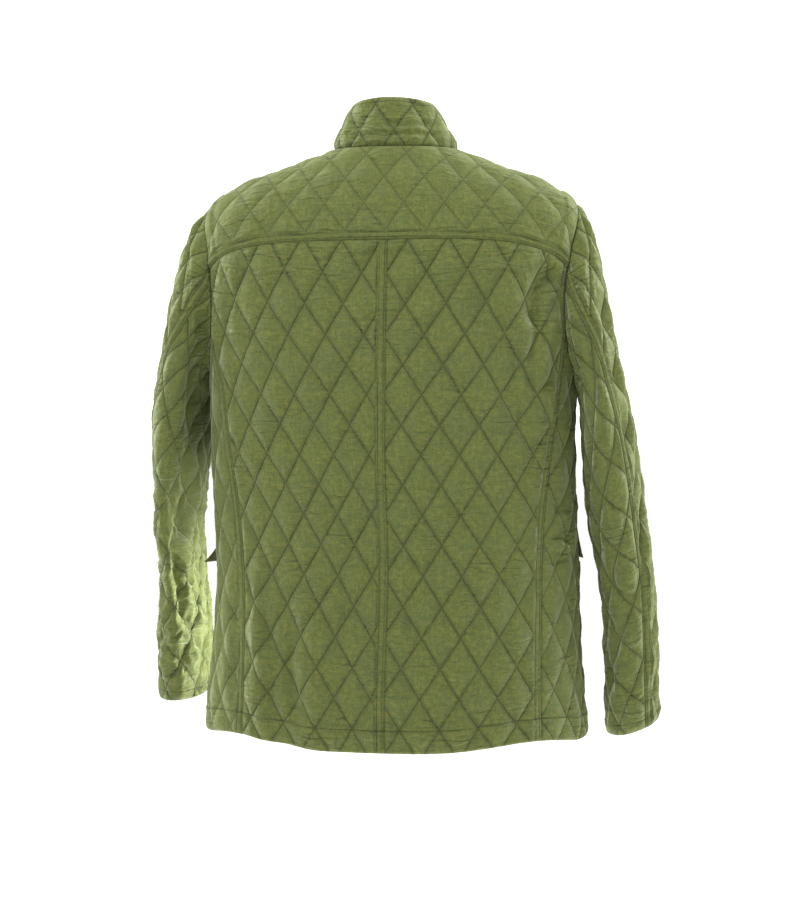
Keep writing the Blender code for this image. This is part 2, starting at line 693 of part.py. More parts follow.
def make_buttons():
    for count, level in enumerate(BUTTON_LEVELS, 1):
        turn = np.array([math.pi])
        levels = np.array([level])
        normal = body_normal(turn, levels)[0]
        lift = front_lift(turn, levels)[0] + LAYER_GAP
        make_button(f"button_{count}", body_point(turn, levels)[0] + normal * lift, normal)
    turn = np.array([math.pi])
    at = np.array([COLLAR_BUTTON_RISE])
    normal = -surface_normal(collar_bare, turn, at)[0]
    lift = front_lift(turn, np.zeros(1))[0] + LAYER_GAP
    make_button("button_collar", collar_bare(turn, at)[0] + normal * lift, normal)


def clear_scene():
    for item in list(bpy.data.objects):
        bpy.data.objects.remove(item, do_unlink=True)


def main():
    clear_scene()
    make_yoke()
    make_collar()
    for word, side in (("left", 1), ("right", -1)):
        make_back(f"back_{word}", side)
        make_side(f"side_{word}", side)
        make_front(f"front_{word}", side)
        make_sleeve(f"sleeve_upper_{word}", "front_sleeve", "shoulder_again", side)
        make_sleeve(f"sleeve_under_{word}", "back_sleeve", "front_sleeve", side)
        make_flap(f"flap_{word}", side)
    make_buttons()


main()
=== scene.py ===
import json
import math

import bpy
import numpy as np
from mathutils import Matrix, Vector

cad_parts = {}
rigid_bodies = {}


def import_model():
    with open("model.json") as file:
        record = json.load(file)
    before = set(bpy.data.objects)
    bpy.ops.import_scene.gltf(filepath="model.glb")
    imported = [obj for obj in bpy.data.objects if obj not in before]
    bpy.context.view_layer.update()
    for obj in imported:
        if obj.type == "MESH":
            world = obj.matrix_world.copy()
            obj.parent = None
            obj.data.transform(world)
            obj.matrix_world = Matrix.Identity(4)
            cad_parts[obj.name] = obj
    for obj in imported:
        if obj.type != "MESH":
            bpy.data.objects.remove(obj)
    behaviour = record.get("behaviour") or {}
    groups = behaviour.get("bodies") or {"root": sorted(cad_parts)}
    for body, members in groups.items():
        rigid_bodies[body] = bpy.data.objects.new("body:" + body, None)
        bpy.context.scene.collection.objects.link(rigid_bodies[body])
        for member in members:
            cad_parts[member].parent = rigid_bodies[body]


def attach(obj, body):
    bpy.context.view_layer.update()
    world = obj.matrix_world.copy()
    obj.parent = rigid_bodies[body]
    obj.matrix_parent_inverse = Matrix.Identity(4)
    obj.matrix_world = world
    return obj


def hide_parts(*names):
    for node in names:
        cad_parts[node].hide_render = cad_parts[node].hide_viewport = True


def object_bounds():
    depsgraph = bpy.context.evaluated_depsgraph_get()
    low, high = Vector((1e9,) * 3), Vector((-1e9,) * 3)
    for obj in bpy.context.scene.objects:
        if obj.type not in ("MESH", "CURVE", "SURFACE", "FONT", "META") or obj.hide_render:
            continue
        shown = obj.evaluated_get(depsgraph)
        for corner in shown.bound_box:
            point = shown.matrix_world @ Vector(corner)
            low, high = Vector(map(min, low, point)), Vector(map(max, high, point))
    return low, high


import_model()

# A men's quilted wool jacket, worn and hollow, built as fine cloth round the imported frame.
# Metres. The wearer faces -Y and +X is the wearer's left. A place on the body is a turn round it,
# 0 at the centre back and a quarter turn at the wearer's left, and a level down from the neck seam.
# Each panel also has cloth coordinates, across and down, that carry its quilting and its weave.

cadLow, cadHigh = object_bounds()
print("jacket: frame loaded")


def columnsOf(names, rows):
    return dict(zip(names.split(), np.array(rows, dtype=float).T))


def readColumn(rows, column, key, at):  # a smooth curve through the rows of one column
    x = rows[key]
    y = rows[column]
    at = np.clip(at, x[0], x[-1])
    slope = np.gradient(y, x)
    i = np.clip(np.searchsorted(x, at, side="right") - 1, 0, len(x) - 2)
    h = x[i + 1] - x[i]
    t = (at - x[i]) / h
    climb = y[i + 1] - y[i]
    start = slope[i] * h
    end = slope[i + 1] * h
    return y[i] + t * (start + t * (3 * climb - 2 * start - end + t * (start + end - 2 * climb)))


def unit(v):
    return v / np.maximum(np.linalg.norm(v, axis=-1, keepdims=True), 1e-12)


def smooth(x):  # eases from 0 to 1
    x = np.clip(x, 0.0, 1.0)
    return x * x * (3.0 - 2.0 * x)


# The form of the body, the collar and the sleeves, in the frame's own sizes.
body = {
    "thickness": 0.0040,
    "seamGap": 0.0004,
    "armholeGap": 0.0006,
    "layerGap": 0.0010,
    "shoulderSeamTurn": 99.0,
    "sideSeamTurn": 93.0,
    "sideSettle": 1 / 3,
    "sideBackSettle": 0.12,
    "yokeLevel": 0.1355,
    "yokeCurve": 2.0,
    "backSeamStart": -0.0088,    # the centre-back seam hangs to the wearer's right of the middle
    "backSeamLean": 0.0042,
    "frontLap": 0.020,
    "lapRun": 0.045,
    "lapClear": 0.008,
    "armholeTop": 0.130,
    "armholeLow": 0.297,
    "armholeBackSpread": 29.0,
    "armholeFrontSpread": 37.0,
    "frontFillLate": 4.0,
}
ringNames = "level zBack zSide zFront halfWidth backDepth frontDepth squareness middleX quarterRise"
bodyRings = columnsOf(
    ringNames,
    (
        (0.000, -0.002, 0.0000, -0.075, 0.0785, 0.070, 0.085, 2.00, 0.0020, 0.0),    # neck seam
        (0.020, -0.020, -0.0070, -0.088, 0.0960, 0.082, 0.089, 2.05, 0.0030, 0.0),
        (0.065, -0.060, -0.0240, -0.117, 0.1420, 0.103, 0.098, 2.20, 0.0050, 0.0),
        (0.100, -0.090, -0.0430, -0.142, 0.1940, 0.113, 0.104, 2.40, 0.0060, 0.0),
        (0.130, -0.115, -0.0710, -0.165, 0.2300, 0.120, 0.110, 2.60, 0.0060, 0.0),   # shoulder
        (0.170, -0.158, -0.1280, -0.193, 0.2335, 0.127, 0.122, 2.80, 0.0060, 0.0),
        (0.210, -0.200, -0.1850, -0.222, 0.2330, 0.132, 0.134, 2.80, 0.0060, 0.0),   # chest
        (0.310, -0.300, -0.3000, -0.300, 0.2305, 0.134, 0.145, 2.60, 0.0060, 0.0),   # underarm
        (0.395, -0.385, -0.3850, -0.385, 0.2290, 0.131, 0.142, 2.50, 0.0060, 0.0),
        (0.460, -0.450, -0.4500, -0.450, 0.2285, 0.131, 0.141, 2.45, 0.0035, 0.0),   # waist
        (0.530, -0.520, -0.5200, -0.520, 0.2280, 0.139, 0.144, 2.40, 0.0005, 0.0),
        (0.610, -0.600, -0.6000, -0.600, 0.2300, 0.148, 0.148, 2.40, 0.0010, 0.0),   # hip
        (0.700, -0.690, -0.6900, -0.685, 0.2375, 0.153, 0.150, 2.40, 0.0020, 0.0040),
        (0.738, -0.728, -0.7285, -0.721, 0.2400, 0.154, 0.150, 2.40, 0.0010, 0.0110),   # hem
    ),
)
hemLevel = bodyRings["level"][-1]
collarNames = "climb zBack zSide zFront halfWidth backDepth frontDepth middleX"
collarRings = columnsOf(
    collarNames,
    (
        (0.00, -0.002, 0.0000, -0.075, 0.0785, 0.0700, 0.085, 0.0020),
        (0.10, 0.005, 0.0060, -0.069, 0.0772, 0.0695, 0.084, 0.0025),
        (0.45, 0.027, 0.0270, -0.047, 0.0680, 0.0630, 0.077, 0.0040),
        (0.80, 0.048, 0.0460, -0.025, 0.0575, 0.0565, 0.070, 0.0045),
        (1.00, 0.060, 0.0565, -0.013, 0.0510, 0.0530, 0.067, 0.0045),
    ),
)
sleeveNames = "along  outerX  outerZ  innerX  innerZ  middleY  halfDepth  backSeam"
sleeveRings = {
    "left": columnsOf(
        sleeveNames,
        (
            (0.00, 0.2360, -0.071, 0.2370, -0.288, -0.006, 0.078, 78),
            (0.08, 0.2585, -0.098, 0.2396, -0.301, -0.004, 0.088, 82),
            (0.18, 0.2795, -0.158, 0.2425, -0.322, -0.004, 0.095, 80),
            (0.30, 0.2945, -0.235, 0.2455, -0.352, -0.006, 0.099, 64),   # upper arm
            (0.44, 0.3100, -0.330, 0.2510, -0.396, -0.010, 0.098, 40),
            (0.60, 0.3090, -0.440, 0.2620, -0.458, -0.016, 0.089, 24),   # elbow
            (0.74, 0.3040, -0.530, 0.2600, -0.536, -0.020, 0.080, 18),
            (0.87, 0.3100, -0.612, 0.2510, -0.608, -0.024, 0.071, 18),
            (1.00, 0.3120, -0.697, 0.2530, -0.696, -0.028, 0.062, 20),   # cuff
        ),
    ),
    "right": columnsOf(
        sleeveNames,
        (
            (0.00, 0.2240, -0.071, 0.2250, -0.288, -0.006, 0.078, 78),
            (0.08, 0.2440, -0.104, 0.2276, -0.301, -0.004, 0.088, 84),
            (0.18, 0.2585, -0.166, 0.2300, -0.322, -0.004, 0.095, 80),
            (0.30, 0.2735, -0.245, 0.2320, -0.354, -0.006, 0.099, 70),   # upper arm
            (0.44, 0.2945, -0.340, 0.2345, -0.398, -0.010, 0.098, 61),
            (0.60, 0.3110, -0.455, 0.2400, -0.465, -0.016, 0.089, 57),   # elbow
            (0.74, 0.3220, -0.552, 0.2550, -0.548, -0.020, 0.080, 60),
            (0.87, 0.3265, -0.640, 0.2600, -0.632, -0.024, 0.071, 62),
            (1.00, 0.3285, -0.712, 0.2620, -0.732, -0.028, 0.062, 62),   # cuff
        ),
    ),
}
sleeveFrontSeam = -125.0
armholeFade = 0.30

# How far the side-back seam lies from the middle plane, by level.
sideBack = columnsOf(
    "level  leftX  rightX",
    (
        (0.220, 0.2145, 0.2145),
        (0.300, 0.2065, 0.2085),
        (0.370, 0.1980, 0.2000),
        (0.465, 0.1830, 0.1890),
        (0.560, 0.1745, 0.1860),
        (0.650, 0.1735, 0.1855),
        (0.738, 0.1740, 0.1860),
    ),
)

# The frame's cells along each stretch of seam; a panel's fineness divides them further.
cells = {"back": 9, "side": 11, "shoulder": 5, "backNeck": 8, "frontNeck": 6, "sleeve": 16,
         "collar": 4}
# Angles round the armhole from its top, where seams meet it, and the frame's cells between them.
armholeStops = {"shoulder": -10.0, "yoke": 69.0, "backSleeve": 78.0, "sideBack": 112.0,
                "side": 187.0, "frontSleeve": 235.0, "shoulderAgain": 350.0}
armholeCells = (5, 1, 2, 5, 3, 7)

# The largest folds, as the frame has them: piece, start, end, half width and height.
bigFolds = (
    ("body", (-0.150, 0.125, -0.165), (-0.195, 0.100, -0.330), 0.022, 0.006),
    ("body", (-0.118, 0.132, -0.190), (-0.165, 0.118, -0.330), 0.020, -0.005),
    ("body", (0.160, 0.130, -0.520), (0.150, 0.140, -0.737), 0.020, 0.006),
    ("body", (0.125, 0.140, -0.560), (0.118, 0.150, -0.737), 0.018, -0.004),
    ("body", (0.085, 0.145, -0.580), (0.080, 0.155, -0.737), 0.020, 0.005),
    ("body", (0.120, -0.140, -0.430), (0.170, -0.130, -0.730), 0.026, 0.006),
    ("body", (-0.130, -0.140, -0.400), (-0.165, -0.130, -0.730), 0.026, 0.006),
    ("left", (0.310, 0.030, -0.400), (0.262, 0.040, -0.470), 0.016, -0.004),
    ("left", (0.306, 0.030, -0.480), (0.262, 0.035, -0.545), 0.016, 0.004),
    ("right", (-0.312, 0.030, -0.440), (-0.262, 0.040, -0.500), 0.016, -0.004),
    ("right", (-0.318, 0.030, -0.510), (-0.272, 0.035, -0.570), 0.016, 0.004),
)


def foldHeight(piece, points):
    height = np.zeros(points.shape[:-1])
    for where, start, end, halfWidth, lift in bigFolds:
        if where != piece:
            continue
        a = np.array(start)
        run = np.array(end) - a
        share = np.clip(((points - a) @ run) / (run @ run), 0.0, 1.0)
        distance = np.linalg.norm(points - a - share[..., None] * run, axis=-1)
        height += lift * np.exp(-((distance / halfWidth) ** 2))
    return height


def ringPoint(turn, row):
    s = np.sin(turn)
    c = np.cos(turn)
    n = row["squareness"]
    reach = (np.abs(s) ** n + np.abs(c) ** n) ** (-1.0 / n)
    depth = np.where(c > 0, row["backDepth"], row["frontDepth"])
    endZ = np.where(c > 0, row["zBack"], row["zFront"])
    x = row["middleX"] + row["halfWidth"] * s * reach
    y = depth * c * reach
    z = row["zSide"] + (endZ - row["zSide"]) * c * c
    z = z + row["quarterRise"] * (2 * s * c) ** 4
    return np.stack((x, y, z), axis=-1)


def bodyBare(turn, level):
    names = ringNames.split()[1:]
    return ringPoint(turn, {name: readColumn(bodyRings, name, "level", level) for name in names})


def collarBare(turn, climb):
    names = collarNames.split()[1:]
    row = {name: readColumn(collarRings, name, "climb", climb) for name in names}
    row["squareness"] = 2.0
    row["quarterRise"] = 0.0
    return ringPoint(turn, row)


def surfaceNormal(surface, u, v, step=1e-3):
    du = surface(u + step, v) - surface(u - step, v)
    dv = surface(u, v + step) - surface(u, v - step)
    return unit(np.cross(du, dv))


def bodyNormal(turn, level):
    return surfaceNormal(bodyBare, turn, np.clip(level, 1e-3, hemLevel - 1e-3))


def bodyPoint(turn, level):
    bare = bodyBare(turn, level)
    return bare + bodyNormal(turn, level) * foldHeight("body", bare)[..., None]


def armholePlace(angle, side):  # turn and level of the armhole at an angle from its top
    middle = (body["armholeTop"] + body["armholeLow"]) / 2
    half = (body["armholeLow"] - body["armholeTop"]) / 2
    spread = np.where(np.sin(angle) > 0, body["armholeBackSpread"], body["armholeFrontSpread"])
    turn = np.radians(90.0 - spread * np.sin(angle))
    return side * turn, middle - half * np.cos(angle)


def sleeveRing(angle, along, side):
    rows = sleeveRings["left" if side > 0 else "right"]
    names = ("outerX", "outerZ", "innerX", "innerZ", "middleY", "halfDepth")
    outerX, outerZ, innerX, innerZ, middleY, halfDepth = (
        readColumn(rows, name, "along", along) for name in names
    )
    c = np.cos(angle)
    x = (outerX + innerX) / 2 + (outerX - innerX) / 2 * c
    y = middleY + halfDepth * np.sin(angle)
    z = (outerZ + innerZ) / 2 + (outerZ - innerZ) / 2 * c
    return np.stack((side * x, y, z), axis=-1)


def sleeveBare(angle, along, side):
    fade = smooth(1.0 - along / armholeFade)
    change = bodyPoint(*armholePlace(angle, side)) - sleeveRing(angle, np.zeros_like(along), side)
    return sleeveRing(angle, along, side) + change * fade[..., None]


def sleeveNormal(angle, along, side):
    along = np.clip(along, 1e-3, 1.0 - 1e-3)
    normal = surfaceNormal(lambda a, b: sleeveBare(a, b, side), angle, along)
    return -side * normal


def sleevePoint(angle, along, side):
    bare = sleeveBare(angle, along, side)
    height = foldHeight("left" if side > 0 else "right", bare)
    return bare + sleeveNormal(angle, along, side) * height[..., None]


def armholeNormal(angle, side):
    ofBody = bodyNormal(*armholePlace(angle, side))
    return unit(ofBody + sleeveNormal(angle, np.full_like(angle, 2e-3), side))


def neckNormal(turn):
    ofBody = bodyNormal(turn, np.zeros_like(turn))
    return unit(ofBody - surfaceNormal(collarBare, turn, np.full_like(turn, 2e-3)))


# A seam is a row of places on the body.
def places(turn, level):
    turn, level = np.broadcast_arrays(np.asarray(turn, float), np.asarray(level, float))
    return np.stack((turn, level), axis=-1)


def join(*runs):
    return np.concatenate([runs[0]] + [run[1:] for run in runs[1:]])


def steps(count):
    return np.linspace(0.0, 1.0, count + 1)


def armholeAngles(first, last, fine):
    names = list(armholeStops)
    stops = list(armholeStops.values())
    angles = [stops[names.index(first)]]
    for i in range(names.index(first), names.index(last)):
        angles.extend(np.linspace(stops[i], stops[i + 1], armholeCells[i] * fine + 1)[1:])
    return np.radians(angles)


def armholeRun(first, last, side, fine):
    return places(*armholePlace(armholeAngles(first, last, fine), side))


def centreBack(count):
    share = steps(count)
    level = body["yokeLevel"] + (hemLevel - body["yokeLevel"]) * share
    reach = body["backSeamStart"] + body["backSeamLean"] * share
    return places(reach / readColumn(bodyRings, "halfWidth", "level", level), level)


def yokeSeam(side, fine):
    startTurn = centreBack(1)[0, 0]
    endTurn, endLevel = armholePlace(math.radians(armholeStops["yoke"]), 1)
    share = steps(cells["back"] * fine)
    level = body["yokeLevel"] + (endLevel - body["yokeLevel"]) * share ** body["yokeCurve"]
    return places(startTurn + (side * endTurn - startTurn) * share, level)


def sideBackSeam(side, fine):
    startTurn, startLevel = armholePlace(math.radians(armholeStops["sideBack"]), 1)
    share = steps(cells["side"] * fine)
    level = startLevel + (hemLevel - startLevel) * share
    x = readColumn(sideBack, "leftX" if side > 0 else "rightX", "level", level)
    x = x - side * readColumn(bodyRings, "middleX", "level", level)
    n = readColumn(bodyRings, "squareness", "level", level)
    reach = np.minimum(x / readColumn(bodyRings, "halfWidth", "level", level), 0.999) ** n
    turn = np.arctan((reach / (1.0 - reach)) ** (1.0 / n))
    settle = np.clip(share / body["sideBackSettle"], 0.0, 1.0)
    return places(side * (startTurn + (turn - startTurn) * settle), level)


def sideSeam(side, fine):
    startTurn, startLevel = armholePlace(math.radians(armholeStops["side"]), 1)
    share = steps(cells["side"] * fine)
    settle = np.minimum(share / body["sideSettle"], 1.0)
    turn = startTurn + (math.radians(body["sideSeamTurn"]) - startTurn) * settle
    return places(side * turn, startLevel + (hemLevel - startLevel) * share)


def shoulderSeam(side, fine):
    startTurn, startLevel = armholePlace(math.radians(armholeStops["shoulder"]), 1)
    share = steps(cells["shoulder"] * fine)
    endTurn = math.radians(body["shoulderSeamTurn"])
    return places(side * (startTurn + (endTurn - startTurn) * share), startLevel * (1 - share))


def frontEdgeTurn(level, side):
    return side * (math.pi + body["frontLap"] / readColumn(bodyRings, "halfWidth", "level", level))


def frontEdge(count, side):
    level = hemLevel * steps(count)
    return places(frontEdgeTurn(level, side), level)


def frontNeck(side, fine):
    start = side * math.radians(body["shoulderSeamTurn"])
    end = frontEdgeTurn(0.0, side)
    return places(start + (end - start) * steps(cells["frontNeck"] * fine), 0.0)


def backNeck(fine):
    end = math.radians(body["shoulderSeamTurn"])
    return places(end - 2 * end * steps(cells["backNeck"] * fine), 0.0)


def hem(start, end, count):
    return places(start + (end - start) * steps(count), hemLevel)


def fill(bottom, top, left, right, late=1.0):  # a grid of places between four edges
    u = np.linspace(0.0, 1.0, len(bottom))[None, :, None]
    v = np.linspace(0.0, 1.0, len(left))[:, None, None] ** late
    across = (1 - v) * bottom[None] + v * top[None]
    up = (1 - u) * left[:, None] + u * right[:, None]
    corners = ((1 - u) * (1 - v) * bottom[0] + u * (1 - v) * bottom[-1]
               + (1 - u) * v * top[0] + u * v * top[-1])
    return across + up - corners


def frontLift(turn, level):  # the upper front climbs over the lower one near the centre
    reach = (turn - math.pi) * readColumn(bodyRings, "halfWidth", "level", level)
    share = 1.0 + (reach + body["frontLap"] + body["lapClear"]) / body["lapRun"]
    return (body["thickness"] + body["layerGap"]) * smooth(share)


# Quilting, seams and creases are heights over the bare cloth, in metres.
quilting = {
    "width": 0.0480,        # of a diamond
    "height": 0.0717,
    "puff": 0.00432,        # how far the wadding lifts the middle of a diamond
    "uneven": 0.25,         # how much more one diamond is filled than another
    "sag": 0.5,             # how much more the wadding fills a diamond's lower half
    "sink": 0.0011,         # how far the stitching pulls the cloth in
    "reach": 0.0080,        # how soon the cloth has risen beside a stitched line
    "pucker": 0.00068,      # small gathers across the stitched lines
    "puckers": 5.2,         # how many of them between two crossings
    "puckerReach": 0.006,
    "rumple": 0.00105,      # flat waves inside the diamonds
    "rumples": ((22, 85, 15, 30), (34, 165, 25, 40)),   # their waves and bends per metre
}
lineSpacing = quilting["width"] * quilting["height"] / math.hypot(quilting["width"],
                                                                  quilting["height"])

# On the back, how far the diamonds' crossings lie from the centre seam, and how wide they hang.
backDiamonds = columnsOf(
    "level  leftAt  leftWidth  rightAt  rightWidth",
    (
        (0.130, 0.0560, 0.0480, 0.0240, 0.0485),
        (0.209, 0.0517, 0.0475, 0.0232, 0.0485),
        (0.281, 0.0466, 0.0455, 0.0211, 0.0480),
        (0.352, 0.0423, 0.0435, 0.0195, 0.0465),
        (0.423, 0.0392, 0.0425, 0.0204, 0.0455),
        (0.495, 0.0397, 0.0415, 0.0190, 0.0455),
        (0.565, 0.0398, 0.0425, 0.0190, 0.0460),
        (0.738, 0.0380, 0.0440, 0.0180, 0.0465),
    ),
)
# Where a crossing lies on every other piece, how the lines are turned (degrees), and their width.
otherDiamonds = {
    "yoke": (0.0024, 0.0107, 0.0, 0.0488),
    "collar": (-0.0070, 0.0200, 0.0, 0.0470),
    "sideLeft": (0.0200, 0.5850, 0.0, 0.0440),
    "sideRight": (0.0200, 0.6000, 0.0, 0.0440),
    "frontLeft": (0.0240, 0.1300, 0.0, 0.0480),
    "frontRight": (0.0240, 0.1300, 0.0, 0.0480),
    "upperLeft": (0.0000, 0.0400, 0.0, 0.0470),
    "upperRight": (0.0000, 0.0400, 0.0, 0.0470),
    "underLeft": (0.0200, 0.0500, 0.0, 0.0470),
    "underRight": (0.0200, 0.0500, -10.0, 0.0470),
}

# What happens along each kind of edge: how deep it is pinched, how high the pressed allowance
# stands, how wide it is, and where its rows of topstitching run.
edgeKinds = {
    "plain": {"pinch": 0.0012, "raise": 0.0, "width": 0.004, "rows": ()},
    "band": {"pinch": 0.0012, "raise": 0.0008, "width": 0.0105, "rows": (0.0030, 0.0090)},
    "armhole": {"pinch": 0.0, "raise": 0.0022, "width": 0.0220, "rows": ()},
    "hem": {"pinch": 0.0004, "raise": 0.0013, "width": 0.0260, "rows": (0.0260,)},
    "cuff": {"pinch": 0.0004, "raise": 0.0004, "width": 0.0110, "rows": (0.0110,)},
    "front": {"pinch": 0.0004, "raise": 0.0004, "width": 0.0070, "rows": (0.0070, 0.0380)},
    "collarTop": {"pinch": 0.0004, "raise": 0.0003, "width": 0.0060, "rows": (0.0060,)},
}
sewnKinds = ("plain", "band", "armhole")
noSeamNear = 1.0


def diamondPhase(piece, across, down):
    if piece in ("backLeft", "backRight"):
        word = "left" if piece == "backLeft" else "right"
        at = readColumn(backDiamonds, word + "At", "level", down)
        width = readColumn(backDiamonds, word + "Width", "level", down)
        u = (across - at) / width
        v = (down - backDiamonds["level"][1]) / quilting["height"]
        return u, v
    atAcross, atDown, turned, width = otherDiamonds[piece]
    a = math.radians(turned)
    x = across - atAcross
    y = down - atDown
    return ((x * math.cos(a) + y * math.sin(a)) / width,
            (y * math.cos(a) - x * math.sin(a)) / quilting["height"])


def hashOf(i, j, seed):
    n = np.sin(i * 127.1 + j * 311.7 + seed * 74.7) * 43758.5453
    return n - np.floor(n)


def waves(x, y, seed):  # smooth unevenness between -1 and 1
    i = np.floor(x)
    j = np.floor(y)
    s = smooth(x - i)
    t = smooth(y - j)
    low = hashOf(i, j, seed) * (1 - s) + hashOf(i + 1, j, seed) * s
    high = hashOf(i, j + 1, seed) * (1 - s) + hashOf(i + 1, j + 1, seed) * s
    return 2 * (low * (1 - t) + high * t) - 1


def quiltHeight(u, v, across, down, seed):
    first = np.abs(u + v - np.round(u + v)) * lineSpacing
    second = np.abs(u - v - np.round(u - v)) * lineSpacing
    rise = 1 - np.exp(-first / quilting["reach"])
    rise = rise * (1 - np.exp(-second / quilting["reach"]))
    hang = (u + v - np.floor(u + v) + v - u - np.floor(v - u)) / 2   # 0 at the top corner, 1 below
    filled = 1 + quilting["uneven"] * waves(np.round(u + v) * 0.7, np.round(u - v) * 0.7, seed)
    filled = filled * (1 + quilting["sag"] * (hang - 0.5))
    height = quilting["puff"] * rise * filled - quilting["sink"]
    for near, along, shift in ((first, u - v, 3), (second, u + v, 4)):
        phase = along * quilting["puckers"] + 0.6 * waves(across * 40, down * 40, seed + shift)
        share = near / quilting["puckerReach"]
        height += quilting["pucker"] * np.sin(2 * math.pi * phase) * np.exp(-share) * share
    strength = smooth(0.5 + 0.9 * waves(across * 9, down * 9, seed + 5))
    rumples = np.zeros_like(height)
    for k, (wide, high, bendWide, bendHigh) in enumerate(quilting["rumples"]):
        bend = 0.8 * waves(across * bendWide, down * bendHigh, seed + 6 + 2 * k)
        rumples += 0.6 * waves(across * wide + bend, down * high, seed + 7 + 2 * k)
    return height + quilting["rumple"] * strength * rumples * np.sqrt(np.clip(rise, 0, 1))


